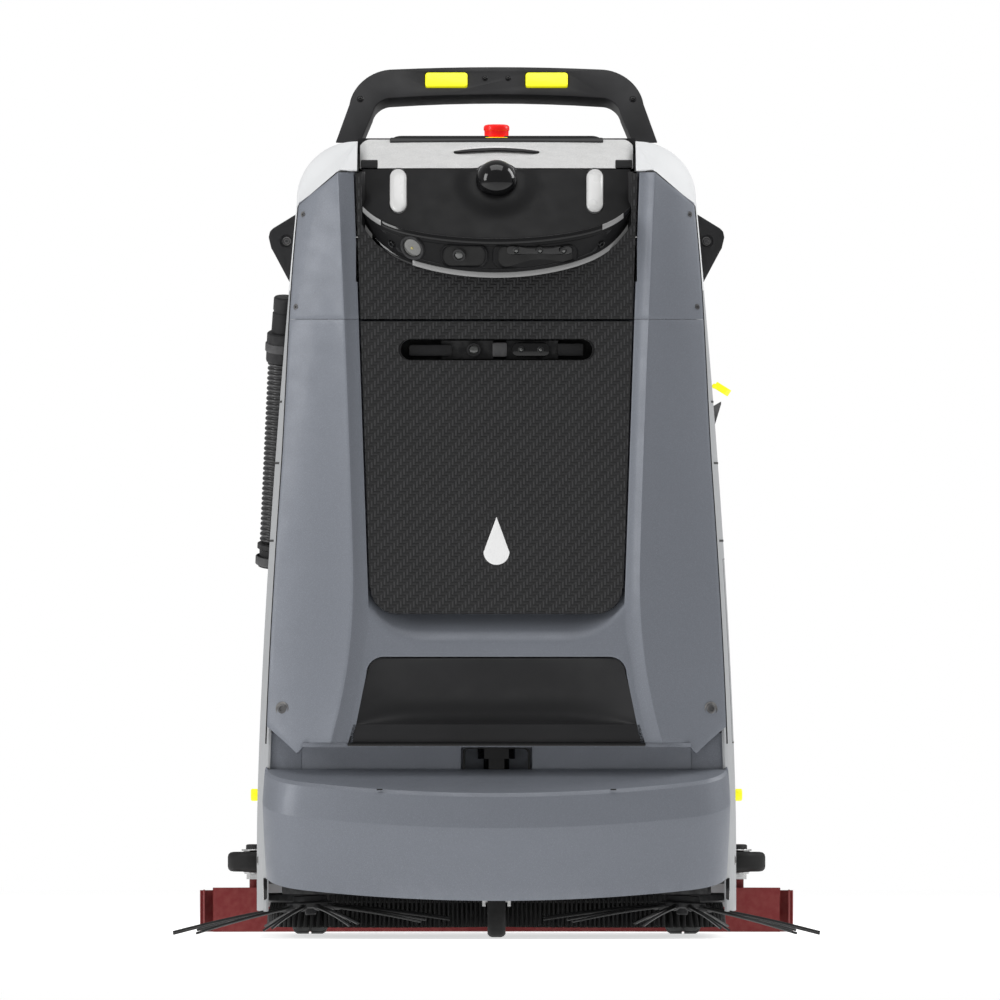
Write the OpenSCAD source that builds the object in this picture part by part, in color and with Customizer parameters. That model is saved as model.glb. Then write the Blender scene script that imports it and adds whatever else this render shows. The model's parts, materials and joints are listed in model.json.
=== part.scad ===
// Self-driving floor scrubber with a push bar at the back.
// +Z is up, -Y is the front, the origin is on the floor under the middle of the machine.

/* [Covers] */
// Width over the side covers at the base
base_w = 742; // [620:1:900]
// Width over the side covers at the shoulders
top_w = 618; // [515:1:745]
// Height of the top deck
deck_z = 1236; // [1030:1:1490]
// Distance from the origin forward to the lower lip of the front shell
front_y = 520; // [435:1:625]
// Distance from the origin back to the rear cover at its base
rear_y = 430; // [400:1:520]
// Wall of the moulded covers
wall = 4; // [3:0.5:6]
// Gap between two covers
seam = 0.6; // [0.3:0.1:0.9]
// Distance from the top deck down to the seam across the front shell and panel
split_drop = 281; // [236:1:436]
// Height of the lower lip of the front shell
lip_z = 302; // [290:1:340]
// How far the front leans back for each unit of height
lean = 0.1136; // [0.06:0.01:0.14]

/* [Front panel] */
// Height of the bottom edge of the panel
panel_z = 501; // [480:1:560]
// Length of the camera slot
slot_w = 296; // [200:1:330]
// Height of the camera slot
slot_h = 32; // [20:1:38]
// Distance from the top deck down to the middle of the camera slot
slot_drop = 328; // [321:1:476]
// Half width of the dark recess at its top
recess_top = 193; // [150:1:200]
// Height of the top of the dark recess
recess_z = 434; // [400:1:445]

/* [Head] */
// Half width of the head between the shoulders
head_hw = 214; // [180:1:225]
// Radius of the lidar dome
dome_r = 32; // [25:1:40]
// Travel of the emergency stop button
stop_travel = 4; // [2:0.5:6]
// Diameter of the emergency stop button
stop_d = 40; // [32:1:50]

/* [Push bar] */
// Width over the legs of the push bar
bar_w = 506; // [420:1:520]
// Height of the top of the push bar over the top deck
bar_h = 114; // [95:1:150]
// Depth of the push bar from front to back
bar_depth = 34; // [28:1:44]
// Angle by which the push bar leans back
bar_lean = 25; // [10:1:35]

/* [Bumper] */
// Depth of the bumper in front of the lip of the front shell
bumper_reach = 100; // [80:1:140]

/* [Scrubbing] */
// Height of the disc bristles over the floor with the deck raised
deck_clear = 14; // [8:1:20]
// Radius swept by a side brush
sweep_r = 214; // [180:1:220]
// Width of the squeegee
squeegee_w = 929; // [775:1:1115]
// Height of the squeegee blades
blade_h = 69; // [55:1:75]

/* [Wheels] */
// Radius of the drive wheels
drive_r = 110; // [92:1:125]
// Width of the drive wheels
drive_w = 55; // [40:1:62]
// Radius of the caster wheel
caster_r = 60; // [50:1:65]
// Radius of the wall rollers
roller_r = 41; // [34:1:50]

/* [Hoses] */
// Outer radius of the drain hose
hose_r = 23; // [18:1:26]
// Outer radius of the suction hose
suction_r = 27; // [22:1:32]

/* [Hidden] */
$fn = 48;

// Running clearance between a part and its seat
fit = 0.3;
// Radial clearance of a shaft in its bore
run = 0.05;

// Cover heights that follow the deck
cover_base_z = 41;
taper_z = 150;
shoulder_z = deck_z - 97;
cover_seam_z = deck_z - 236;
split_z = deck_z - split_drop;
slot_z = deck_z - slot_drop;
head_top_z = deck_z - 48;
rear_base_z = 60;
rear_top_z = deck_z - 150;

// Front shell
flank_drop = 50;
edge_inset = 12;
floor_drop = 22;
chamfer_drop = 12;
scoop_drop = 30;
panel_t = 9.4;

// Side brushes and the brush deck
side_brush_x = base_w / 2 - 84;
side_brush_y = -front_y + 70;
side_brush_tilt = 3;
side_hub_z = 46;
side_hub_r = 26;
side_arms = 10;
disc_gap = 6;
disc_side_gap = 8;
disc_r = (base_w / 2 - wall - disc_side_gap - disc_gap / 2) / 2;
disc_x = disc_r + disc_gap / 2;
// The discs stay clear of the side brushes, and the drive wheels and the caster clear of the discs
disc_y = side_brush_y + sqrt(pow(disc_r + sweep_r + 6, 2) - pow(side_brush_x - disc_x, 2));
deck_edge = 4;
disc_top = deck_clear + 60;
deck_under = disc_top + 8;
deck_t = 8;
brush_motor_r = 52;
brush_motor_h = 80;

// Wheels
drive_x = base_w / 2 - 53 - drive_w / 2;
drive_y = disc_y + disc_r + deck_edge + drive_r + 6;
drive_gap = 5;
caster_trail = 28;
caster_y = disc_y - disc_r - deck_edge - caster_trail - caster_r - 8;
caster_wheel_w = 28;

// Chassis
plate_z = 150;
plate_t = 8;
plate_top = plate_z + plate_t;
post = 24;
post_x = min(top_w / 2 - 48, drive_x);
front_post_y = -238;
rear_post_y = rear_y - 92;
shelf_z = 380;
shelf_t = 20;
tank_hw = post_x - 6;
tank_front = -front_y + 135;
tank_rear = rear_post_y - 8;
solution_top = 760 + (deck_z - 1236) * 0.6;
recovery_top = cover_seam_z + 8;

// Push bar
bar_y = 60;
bar_leg_w = 38;
bar_thick = 42;
bar_len = bar_h / cos(bar_lean);
trigger_w = 66;
trigger_h = 25;
trigger_d = 12;
trigger_x = 78;
trigger_travel = 5;
trigger_out = 3;

// Squeegee
squeegee_sag = 75;
squeegee_r = (pow(squeegee_w / 2, 2) + pow(squeegee_sag, 2)) / (2 * squeegee_sag);
squeegee_half = asin(squeegee_w / 2 / squeegee_r);
squeegee_back = rear_y + 224;
blade_t = 4;
blade_gap = 34;
swing_y = squeegee_back - 56;
arm_pivot_y = rear_y + 14;
arm_pivot_z = 168;
arm_end_y = swing_y - 58;
arm_end_z = 136;
arm_pin_r = 8;
roller_x = 380;
roller_t = 33;
roller_z = 93;

// Side fittings
hose_top_y = 60;
hose_lean = 12.7;
hose_top_z = deck_z - 244;
hose_fall = 392;
hose_out = 10.705;
hose_lag = 10.27;
hose_x = hw(hose_top_z) + hose_out;
hose_splay = atan((hw(hose_top_z - hose_fall) - hw(hose_top_z) - hose_lag) / hose_fall);
hose_channel = 48;
hose_channel_hw = 46;
knob_r = 9.5;
knob_out = 11;
knob_z = 219;
knob_y = -150;
latch_z = deck_z - 408;
latch_y = 20;
pod_z = deck_z - 150;
pod_y = 30;

function mix(a, b, t) = a + (b - a) * t;
function clamp(v, lo, hi) = min(max(v, lo), hi);
function rise(v, from, to) = clamp((v - from) / (to - from), 0, 1);

// Half width of the covers at height z
function hw(z) = base_w / 2 - (base_w - top_w) / 2 * pow(max(z - taper_z, 0) / (shoulder_z - taper_z), 1.5);
// Front and rear faces at height z
function fy(z) = -front_y + lean * (z - lip_z);
function ry(z) = rear_y - 80 * rise(z, rear_base_z, shoulder_z);
function cover_front(z) = fy(max(z, lip_z)) + flank_drop + wall + seam;
// Side face, which tucks in towards the front edge and turns in at the rear corner
function side_x(y, z) =
  hw(z) - edge_inset * pow(1 - rise(y, cover_front(z), cover_front(z) + 250), 2)
  - 46 * pow(rise(y, ry(z) - 150, ry(z)), 2);
// Middle of the drain hose at height z
function hose_y(z) = hose_top_y + (hose_top_z - z) * tan(hose_lean);
function channel_depth(y, z) =
  let (d = abs(y - hose_y(z)), fade = rise(z, 540, 565))
  hose_channel * fade * clamp((hose_channel_hw + 12 - d) / 12, 0, 1);

// Outlines of the front shell at height z: outer edge, crest and foot of the chamfer
function edge_x(z) = hw(z) - edge_inset;
// Height of a row of the covers, spaced from the hose channel up to the seam
function upper_row(z) = 565 + (z - 565) * (cover_seam_z - 565) / 435;
function crest_x(z) =
  let (waist = lip_z + 258)
  z > waist ? head_hw + 7 + 24 * pow((z - waist) / (head_top_z - waist), 1.2)
            : head_hw + 7 + 35 * pow((waist - z) / 258, 2.2);
function foot_x(z) =
  z > panel_z ? mix(head_hw - 17, head_hw + 7, (z - panel_z) / (head_top_z - panel_z))
              : min(crest_x(z) - 22, mix(crest_x(z) - 22, head_hw - 17, rise(z, 440, panel_z)));
function floor_y(z) =
  z <= panel_z - 41 ? fy(z) + chamfer_drop
  : fy(z) + floor_drop + scoop_drop * sin(180 * rise(z, panel_z - 70, panel_z + 70));
// Top edge of the front shell at distance x from the middle
function shell_top(x) =
  mix(head_top_z - 6, shoulder_z - 8, rise(abs(x), crest_x(head_top_z), edge_x(shoulder_z)));
function recess_x(z) = mix(head_hw + 16, recess_top, rise(z, lip_z, recess_z));

// Bottom edge of the head face and of the sensor bar
function smile_z(x) = head_top_z - 113 + 16 * pow(x / 150, 2) + 26 * pow(abs(x) / head_hw, 8);
function visor_z(x) = head_top_z - 165 + 22 * pow(x / 140, 2) + 44 * pow(abs(x) / head_hw, 8);
head_bow = 46;
function head_y(x, z) =
  fy(head_top_z - 88) - 68 + 0.885 * (z - head_top_z + 113) + head_bow * pow(x / head_hw, 2);
function visor_y(x, t) = head_y(x, smile_z(x)) + 22 * t;

// Bumper outline in plan: distance t from the middle, 0 to 1, signed
bumper_sweep = 60;
function bumper_plan(t) =
  let (a = abs(t), s = t < 0 ? -1 : 1, w = base_w / 2 - 10, f = front_y + bumper_reach,
       u = rise(a, 0.7, 1), x0 = w - 61, y0 = -f + bumper_sweep, x1 = w, y1 = y0 + 25, y2 = -front_y + 48)
  a < 0.7 ? [s * x0 * a / 0.7, -f + bumper_sweep * pow(a / 0.7, 2)]
          : [s * (pow(1 - u, 2) * x0 + 2 * u * (1 - u) * x1 + u * u * x1),
             pow(1 - u, 2) * y0 + 2 * u * (1 - u) * y1 + u * u * y2];
shelf_front_z = 221;
function shelf_plane(y) = shelf_front_z + 0.27 * (y + front_y + bumper_reach);
function bumper_foot(y) = 59 + 0.26 * (y + front_y + bumper_reach);

// Triangles of a slab between two grids of m by n points
function slab_faces(m, n, flip) =
  let (k = m * n,
       top = [for (i = [0:m - 2], j = [0:n - 2]) each
              [[i * n + j, (i + 1) * n + j, (i + 1) * n + j + 1],
               [i * n + j, (i + 1) * n + j + 1, i * n + j + 1]]],
       bottom = [for (f = top) [f[0] + k, f[2] + k, f[1] + k]],
       first = [for (j = [0:n - 2]) each [[j, j + 1, k + j + 1], [j, k + j + 1, k + j]]],
       last = [for (j = [0:n - 2]) let (a = (m - 1) * n + j) each
               [[a, k + a, k + a + 1], [a, k + a + 1, a + 1]]],
       left = [for (i = [0:m - 2]) let (a = i * n, b = a + n) each [[a, k + a, k + b], [a, k + b, b]]],
       right = [for (i = [0:m - 2]) let (a = i * n + n - 1, b = a + n) each
                [[a, b, k + b], [a, k + b, k + a]]],
       all = concat(top, bottom, first, last, left, right))
  flip ? [for (f = all) [f[0], f[2], f[1]]] : all;

// A closed skin between an outer and an inner grid of points
module skin(outer, inner) {
  m = len(outer);
  n = len(outer[0]);
  i = floor((m - 1) / 2);
  j = floor((n - 1) / 2);
  turn = cross(outer[i + 1][j] - outer[i][j], outer[i][j + 1] - outer[i][j])
         * (outer[i][j] - inner[i][j]);
  points = concat([for (row = outer) each row], [for (row = inner) each row]);
  polyhedron(points = points, faces = slab_faces(m, n, turn > 0), convexity = 6);
}

// A tube swept along a list of points, with its rings square to the path
module swept_tube(path, r, sides) {
  n = len(path);
  function along(i) =
    let (d = path[min(i + 1, n - 1)] - path[max(i - 1, 0)]) d / norm(d);
  rings = [for (i = [0:n - 1])
    let (d = along(i), u = [1, 0, 0], v = cross(d, u))
    for (k = [0:sides - 1]) path[i] + r * (cos(360 * k / sides) * u + sin(360 * k / sides) * v)];
  walls = [for (i = [0:n - 2], k = [0:sides - 1])
    let (a = i * sides + k, b = i * sides + (k + 1) % sides)
    each [[a, b, b + sides], [a, b + sides, a + sides]]];
  caps = [for (k = [1:sides - 2]) each
    [[0, k + 1, k], [(n - 1) * sides, (n - 1) * sides + k, (n - 1) * sides + k + 1]]];
  polyhedron(points = rings, faces = [for (f = concat(walls, caps)) [f[0], f[2], f[1]]], convexity = 6);
}

// A block between two corners
module block(lo, hi) {
  translate(lo) cube(hi - lo);
}

// A bar along X with the outline points given as [y, z]
module along_x(half, points) {
  rotate([90, 0, 90]) translate([0, 0, -half]) linear_extrude(2 * half) polygon(points);
}

// A plate in the X-Z plane with its front face at y, going back by depth
module along_y(y, depth) {
  translate([0, y + depth, 0]) rotate([90, 0, 0]) linear_extrude(depth) children();
}

// A ring around Z
module ring(r_out, r_in, h) {
  difference() {
    cylinder(r = r_out, h = h);
    translate([0, 0, -1]) cylinder(r = r_in, h = h + 2);
  }
}

module both_sides() {
  children();
  mirror([1, 0, 0]) children();
}

// ---------- chassis and what it carries ----------

guide_x = 150;
guide_z = plate_z + plate_t / 2;
guide_r = 6;
wheel_well = sqrt(pow(drive_r, 2) - pow(plate_z - drive_r, 2)) + 5;

module chassis_frame() color("dimgray") {
  difference() {
    union() {
      block([-base_w / 2 + 46, -front_y + 74, plate_z], [base_w / 2 - 46, rear_y - 24, plate_top]);
      both_sides() {
        block([post_x, front_post_y, plate_top], [post_x + post, front_post_y + post, deck_z - 56]);
        block([post_x, rear_post_y, plate_top], [post_x + post, rear_post_y + post, deck_z - 416]);
        block([post_x, front_post_y, shelf_z], [post_x + post, rear_post_y + post, shelf_z + shelf_t]);
        // Brackets that hold the side covers
        for (z = [lip_z + 20, deck_z - 536])
          block([post_x, front_post_y, z], [side_x(front_post_y, z + 16) - wall - 4, front_post_y + post, z + 16]);
      }
      for (y = [front_post_y, rear_post_y])
        block([-post_x, y, shelf_z], [post_x, y + post, shelf_z + shelf_t]);
      block([-post_x, front_post_y, deck_z - 76], [post_x, front_post_y + 12, deck_z - 56]);
      // Pins that the bumper slides on
      for (s = [-1, 1])
        translate([s * guide_x, -front_y + 76, guide_z]) rotate([90, 0, 0]) cylinder(r = guide_r, h = 90);
      // Ears for the squeegee arm
      for (s = [-1, 1])
        block([s * 60 - 6, rear_y - 60, plate_top - 20], [s * 60 + 6, arm_pivot_y + 16, plate_top + 26]);
    }
    for (s = [-1, 1]) {
      translate([s * disc_x, disc_y, plate_z - 1]) cylinder(r = brush_motor_r + 0.5, h = plate_t + 2);
      block([s * drive_x - drive_w / 2 - 8, drive_y - wheel_well, plate_z - 1],
            [s * drive_x + drive_w / 2 + 8, drive_y + wheel_well, plate_top + 1]);
    }
    translate([-100, arm_pivot_y, arm_pivot_z]) rotate([0, 90, 0]) cylinder(r = arm_pin_r + run, h = 200);
    translate([0, caster_y, plate_z - 1]) cylinder(r = 12 + run, h = plate_t + 2);
  }
}

module battery_pack() color("black") {
  for (s = [-1, 1])
    block([s * 115 - 110, -front_y + 122, plate_top + fit],
          [s * 115 + 110, disc_y - brush_motor_r - 3.6, shelf_z - 16]);
}

module tank_walls(lo, hi, t) {
  difference() {
    block(lo, hi);
    block(lo + [t, t, t], hi - [t, t, t]);
  }
}

module solution_tank() color("whitesmoke")
  tank_walls([-tank_hw, tank_front, shelf_z + shelf_t + fit], [tank_hw, tank_rear, solution_top], 6);

module recovery_tank() color("gainsboro")
  tank_walls([-tank_hw, tank_front + 60, solution_top + fit], [tank_hw, tank_rear - 40, recovery_top], 6);

module control_box() color("dimgray")
  block([-150, front_post_y + post + 16, recovery_top + fit], [0, 0, recovery_top + 76]);

module vacuum_motor() color("gray")
  translate([120, 60, recovery_top + fit]) {
    cylinder(r = 72, h = 50);
    translate([0, 0, 50]) cylinder(r = 52, h = 36);
  }

module drive_motors() color("gray") {
  for (s = [-1, 1]) scale([s, 1, 1]) {
    translate([drive_x - drive_w / 2 - drive_gap - 130, drive_y, drive_r]) rotate([0, 90, 0])
      cylinder(r = 38, h = 130);
    // Axle stub that carries the wheel
    translate([drive_x - drive_w / 2 - drive_gap, drive_y, drive_r]) rotate([0, 90, 0])
      cylinder(r = 14, h = drive_w + drive_gap);
    block([drive_x - drive_w / 2 - drive_gap - 100, drive_y - 30, drive_r + 20],
          [drive_x - drive_w / 2 - drive_gap - 60, drive_y + 30, plate_z - fit]);
  }
}

// ---------- lower front: sensor bay and bumper ----------

bay_y = -front_y + 58;
notch_hw = 55;
notch_z = 239;
notch_depth = 58;

module sensor_bay() color("slategray") {
  difference() {
    union() {
      block([-300, bay_y, notch_z - 4], [300, bay_y + wall, lip_z - 7]);
      block([-notch_hw - wall, bay_y, notch_z - wall],
            [notch_hw + wall, bay_y + notch_depth, lip_z - 7]);
      block([-300, -front_y + 14, lip_z - 7], [300, bay_y + notch_depth, lip_z - fit]);
    }
    block([-notch_hw, bay_y - 1, notch_z], [notch_hw, bay_y + notch_depth - wall, lip_z - 7]);
  }
}

module front_lidar() color("black")
  translate([0, bay_y + 22, lip_z - 7 - fit]) {
    translate([0, 0, -18]) cylinder(r = 29, h = 18);
    translate([0, 0, -36]) cylinder(r = 20, h = 18);
  }

bumper_rows = 5;
bumper_cols = 21;
// Point of the bumper's skin: row 0 at the back of the shelf, the last row at the foot
function bumper_point(row, t, inset) =
  let (p = bumper_plan(t), w = base_w / 2 - 10, k = 1 - inset / w,
       back = [p.x * 300 / w * k, -front_y + 46 - (row == 0 ? 0 : inset)])
  row == 0 ? [back.x, -front_y + 46, shelf_plane(-front_y + 46) - inset]
  : row == 1 ? [p.x * 0.99 * k, min(p.y + 14 + inset, -front_y + 46), shelf_plane(p.y + 14) - inset]
  : row == 2 ? [p.x * 0.995 * k, min(p.y + 8 + inset, -front_y + 47), shelf_plane(p.y + 14) - 7 - inset * 0.4]
  : row == 3 ? [p.x * k, min(p.y + inset, -front_y + 48), shelf_plane(p.y) - 50]
  : [p.x * 0.985 * k, min(p.y + 6 + inset, -front_y + 48), bumper_foot(p.y)];

function bumper_grid(inset) =
  [for (row = [0:bumper_rows - 1])
    [for (i = [0:bumper_cols - 1]) bumper_point(row, -1 + 2 * i / (bumper_cols - 1), inset)]];

// Front of the bumper at distance x from the middle
function bumper_y(x) = -front_y - bumper_reach + bumper_sweep * pow(x / (base_w / 2 - 71), 2);
bush_y = -front_y + 26;

// The bumper carries two bushes that slide on the chassis pins
module bumper() color("slategray")
  difference() {
    union() {
      skin(bumper_grid(0), bumper_grid(wall + 1));
      for (s = [-1, 1])
        translate([s * guide_x, bush_y, guide_z]) rotate([90, 0, 0])
          cylinder(r = guide_r + 6, h = bush_y - bumper_y(guide_x) - 3);
    }
    for (s = [-1, 1])
      translate([s * guide_x, bush_y + 4, guide_z]) rotate([90, 0, 0]) cylinder(r = guide_r + fit, h = 62);
  }

// ---------- front shell, panel and recess ----------

// Depth of the front shell at a column: 0 outer edge, 1 crest, 2 foot, 3 floor edge, 4 middle
function shell_column(c, z) =
  c == 0 ? [edge_x(z), fy(z) + flank_drop]
  : c == 1 ? [crest_x(z), fy(z)]
  : c == 2 ? [foot_x(z), fy(z) + chamfer_drop]
  : c == 3 ? [foot_x(z) - 1.2, floor_y(z)]
  : [0, floor_y(z)];

function shell_point(k, z, t) =
  let (c = 4 - abs(k - 4), s = k < 4 ? -1 : 1, p = shell_column(c, z))
  [s * max(p.x - (c < 1 ? t * 0.6 : 0), 0), p.y + t, z];

module front_skin(rows) {
  skin([for (z = rows) [for (k = [0:8]) shell_point(k, z, 0)]],
       [for (z = rows) [for (k = [0:8]) shell_point(k, z, wall)]]);
}

recess_r = 26;
recess_corner = recess_x(recess_z - recess_r) - recess_r;
// Half width of the recess at height z, with rounded upper corners
function recess_hw(z) =
  z < recess_z - recess_r ? recess_x(z)
  : recess_corner + sqrt(pow(recess_r, 2) - pow(min(z - recess_z + recess_r, recess_r), 2));

module recess_outline(grow) {
  offset(delta = grow) polygon([
    [-recess_x(lip_z), lip_z - 2], [recess_x(lip_z), lip_z - 2],
    for (a = [0:15:90]) [recess_corner + recess_r * cos(a), recess_z - recess_r * (1 - sin(a))],
    for (a = [90:15:180]) [-recess_corner + recess_r * cos(a), recess_z - recess_r * (1 - sin(a))]]);
}

module slot_outline(grow) {
  offset(delta = grow) hull() for (s = [-1, 1])
    translate([s * (slot_w - slot_h) / 2, slot_z]) circle(d = slot_h, $fn = 32);
}

module front_shell_lower() color("slategray")
  difference() {
    front_skin([lip_z, 355, 424, panel_z - 41, panel_z - 20, panel_z, panel_z + 30, panel_z + 70,
                mix(panel_z, split_z, 0.5), split_z - seam / 2]);
    along_y(-front_y - 40, 160) recess_outline(fit);
    along_y(-front_y - 40, 160) slot_outline(6);
  }

// Point of the upper shell at row v, 0 at the seam and 1 at its top edge
function top_point(k, v, t) =
  let (c = 4 - abs(k - 4), x = shell_column(c, head_top_z).x)
  shell_point(k, mix(split_z + seam / 2, shell_top(x), v), t);

module front_shell_upper() color("slategray")
  difference() {
    rows = [0, 0.25, 0.5, 0.75, 1];
    skin([for (v = rows) [for (k = [0:8]) top_point(k, v, 0)]],
         [for (v = rows) [for (k = [0:8]) top_point(k, v, wall)]]);
    block([-head_hw - 3, -front_y - 40, visor_z(0) - 10], [head_hw + 3, 0, deck_z]);
  }

// A plate that lies in the leaning plane of the front, from z0 to z1
module leaning_plate(z0, z1, depth, t) {
  angle = atan(lean);
  translate([0, fy(z0) + depth, z0]) rotate([-angle, 0, 0])
    along_y(0, t) translate([0, -z0 / cos(angle) + z0 * (1 / cos(angle) - 1)]) children();
}

module panel_outline(z0, z1) {
  polygon([[-foot_x(z0) + 3, z0], [foot_x(z0) - 3, z0], [foot_x(z1) - 3, z1], [-foot_x(z1) + 3, z1]]);
}

module front_panel_lower() color("darkslategray")
  difference() {
    leaning_plate(panel_z, split_z, chamfer_drop, panel_t)
      difference() {
        r = 40;
        bottom = foot_x(panel_z) - 3;
        union() {
          panel_outline(panel_z + r, split_z - seam);
          polygon([
            for (a = [180:15:270]) [-bottom + r + r * cos(a), panel_z + r + r * sin(a)],
            for (a = [270:15:360]) [bottom - r + r * cos(a), panel_z + r + r * sin(a)]]);
        }
      }
    along_y(-front_y - 60, 200) slot_outline(0);
  }

module front_panel_upper() color("darkslategray")
  difference() {
    leaning_plate(split_z, head_top_z, chamfer_drop, panel_t)
      panel_outline(split_z + seam, head_top_z - 6);
    // The head comes through here
    along_y(-front_y - 80, 400) polygon([
      for (k = head_cols) [head_col_x(k) * 1.004, visor_z(head_col_x(k)) - strip_w / 2 - seam],
      [head_hw - 6, deck_z], [-head_hw + 6, deck_z]]);
  }

// The recess is a bowl over a flat lip
trim_lip = 28;
function trim_point(k, z, t) =
  let (u = rise(z, lip_z + trim_lip, recess_z),
       bowl = z > lip_z + trim_lip ? 2 + 34 * sin(180 * pow(u, 0.6)) * (1 - pow(k, 4)) : 0)
  [k * (recess_hw(z) - 3), fy(z) + chamfer_drop + bowl + t, z];

module recess_trim() color("black") {
  rows = [lip_z, lip_z + trim_lip, lip_z + trim_lip + 4, mix(lip_z, recess_z, 0.5),
          recess_z - recess_r, recess_z - 18, recess_z - 9, recess_z - 4];
  cols = [-1, -0.75, -0.5, -0.25, 0, 0.25, 0.5, 0.75, 1];
  skin([for (z = rows) [for (k = cols) trim_point(k, z, 0)]],
       [for (z = rows) [for (k = cols) trim_point(k, z, wall)]]);
}

module camera_modules() color("black") {
  // Two depth cameras behind the slot
  for (x = [-45, 55])
    block([x - 40, fy(slot_z) + floor_drop + wall + 12, slot_z - 14],
          [x + 40, fy(slot_z) + floor_drop + wall + 44, slot_z + 14]);
  // Bracket bar that holds them
  block([-200, fy(slot_z) + floor_drop + wall + 44 + fit, slot_z - 20],
        [200, fy(slot_z) + floor_drop + wall + 50, slot_z + 20]);
  both_sides()
    block([180, fy(slot_z + 10) + floor_drop + wall + 1, slot_z - 10],
          [200, fy(slot_z) + floor_drop + wall + 46, slot_z + 10]);
}

// ---------- head ----------

head_cols = [for (k = [-8:8]) k / 8];
strip_w = 5.2;
function head_col_x(k) = (head_hw - 7) * (k > 0 ? 1 : -1) * (1 - pow(1 - abs(k), 1.6));

// Points of the face, the sensor bar and the light strips, t behind their front
function face_point(k, v, t) =
  let (x = head_col_x(k), z = mix(smile_z(x) + 3, head_top_z - 2, v)) [x, head_y(x, z) + t, z];
function visor_point(k, v, t) =
  let (x = head_col_x(k)) [x, visor_y(x, v) + t, mix(smile_z(x) - 3, visor_z(x) + 3, v)];
function strip_point(k, dz, t, low) =
  let (x = head_col_x(k))
  [x, (low ? visor_y(x, 1) : visor_y(x, 0)) + 2 + t, (low ? visor_z(x) : smile_z(x)) + dz];

module head_face() color("black") {
  rows = [0, 0.25, 0.5, 0.75, 1];
  skin([for (v = rows) [for (k = head_cols) face_point(k, v, 0)]],
       [for (v = rows) [for (k = head_cols) face_point(k, v, 10)]]);
}

module sensor_bar() color("black") {
  rows = [0, 0.5, 1];
  skin([for (v = rows) [for (k = head_cols) visor_point(k, v, 0)]],
       [for (v = rows) [for (k = head_cols) visor_point(k, v, 14)]]);
}

module light_strips() color("gainsboro")
  for (low = [false, true])
    skin([for (dz = [-strip_w, strip_w] / 2) [for (k = head_cols) strip_point(k, dz, 0, low)]],
         [for (dz = [-strip_w, strip_w] / 2) [for (k = head_cols) strip_point(k, dz, 8, low)]]);

// The core behind the face: row 0 at the foot, 1 at the sensor bar's top, 2 to 4 up the face
core_scale = 0.98;
core_back = front_post_y - fit;
tray_y = -front_y + 144;
function core_point(k, row, back) =
  let (x = head_col_x(k), z = row == 0 ? visor_z(x) + 3 : mix(smile_z(x), head_top_z - 5, (row - 1) / 3),
       y = row == 0 ? visor_y(x, 1) + 14.3 : row == 1 ? visor_y(x, 0) + 14.3 : head_y(x, z) + 10.5)
  [x * core_scale, back ? core_back : y, back ? mix(z, deck_z - 14, rise(z, visor_z(x), head_top_z - 5)) : z];

module head_shell() color("black")
  difference() {
    skin([for (row = [0:4]) [for (k = head_cols) core_point(k, row, false)]],
         [for (row = [0:4]) [for (k = head_cols) core_point(k, row, true)]]);
    // Tray under the lid
    block([-head_hw + 24, tray_y, head_top_z - 36], [head_hw - 24, core_back - 14, deck_z + 1]);
  }

module filler_cap() color("royalblue")
  translate([110, -310, head_top_z - 36 + fit]) cylinder(r = 34, h = 20);

// The outward normal of the face leans up by this angle
face_pitch = atan(0.885);
dome_z = head_top_z - 19;
dome_out = 11;
module lidar_dome() color("black")
  translate([0, head_y(0, dome_z) - dome_out, dome_z]) rotate([90 - face_pitch, 0, 0])
    rotate_extrude() intersection() {
      circle(r = dome_r);
      translate([0, fit - dome_out * cos(face_pitch)]) square([dome_r, 2 * dome_r]);
    }

lamp_x = 151.5;
lamp_w = 26;
lamp_h = 80;
lamp_z = head_top_z - 35;
lamp_yaw = atan(2 * head_bow * lamp_x / pow(head_hw, 2));
module signal_lamps() color("white")
  for (s = [-1, 1])
    translate([s * lamp_x, head_y(lamp_x, lamp_z), lamp_z]) rotate([0, 0, s * lamp_yaw])
      rotate([-atan(0.885 * cos(lamp_yaw)), 0, 0]) translate([0, -0.2, 0]) rotate([90, 0, 0])
        linear_extrude(7) hull() for (d = [-1, 1])
          translate([0, d * (lamp_h - lamp_w) / 2]) circle(d = lamp_w, $fn = 32);

lid_hinge = [front_post_y + 6, deck_z - 5];
lid_pin_r = 3;
lid_t = 4.5;
lid_barrel = 300;
// Top of the lid at distance x, at share v of the way from its front edge to the hinge
function lid_front(x) = head_y(x, head_top_z);
function lid_z(x, y) =
  mix(head_top_z + fit, deck_z - 1, (y - lid_front(x)) / (lid_hinge.x - 6 - lid_front(x)));
function lid_point(k, v, inner) =
  let (x = head_col_x(k) * 1.02, y = mix(lid_front(x) + (inner ? 16 : 0), lid_hinge.x - 6, v))
  [x, y, lid_z(x, y) - (inner ? lid_t : 0)];

module top_lid() color("silver")
  difference() {
    rows = [0, 0.1, 0.4, 0.7, 1];
    union() {
      skin([for (v = rows) [for (k = head_cols) lid_point(k, v, false)]],
           [for (v = rows) [for (k = head_cols) lid_point(k, v, true)]]);
      translate([0, lid_hinge.x, lid_hinge.y]) rotate([0, 90, 0])
        cylinder(r = 5, h = lid_barrel, center = true);
      block([-lid_barrel / 2, lid_hinge.x - 9, deck_z - 5.3], [lid_barrel / 2, lid_hinge.x, deck_z - 1.5]);
    }
    translate([0, lid_hinge.x, lid_hinge.y]) rotate([0, 90, 0])
      cylinder(r = lid_pin_r + run, h = 2 * lid_barrel, center = true);
  }

// ---------- covers ----------

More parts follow.
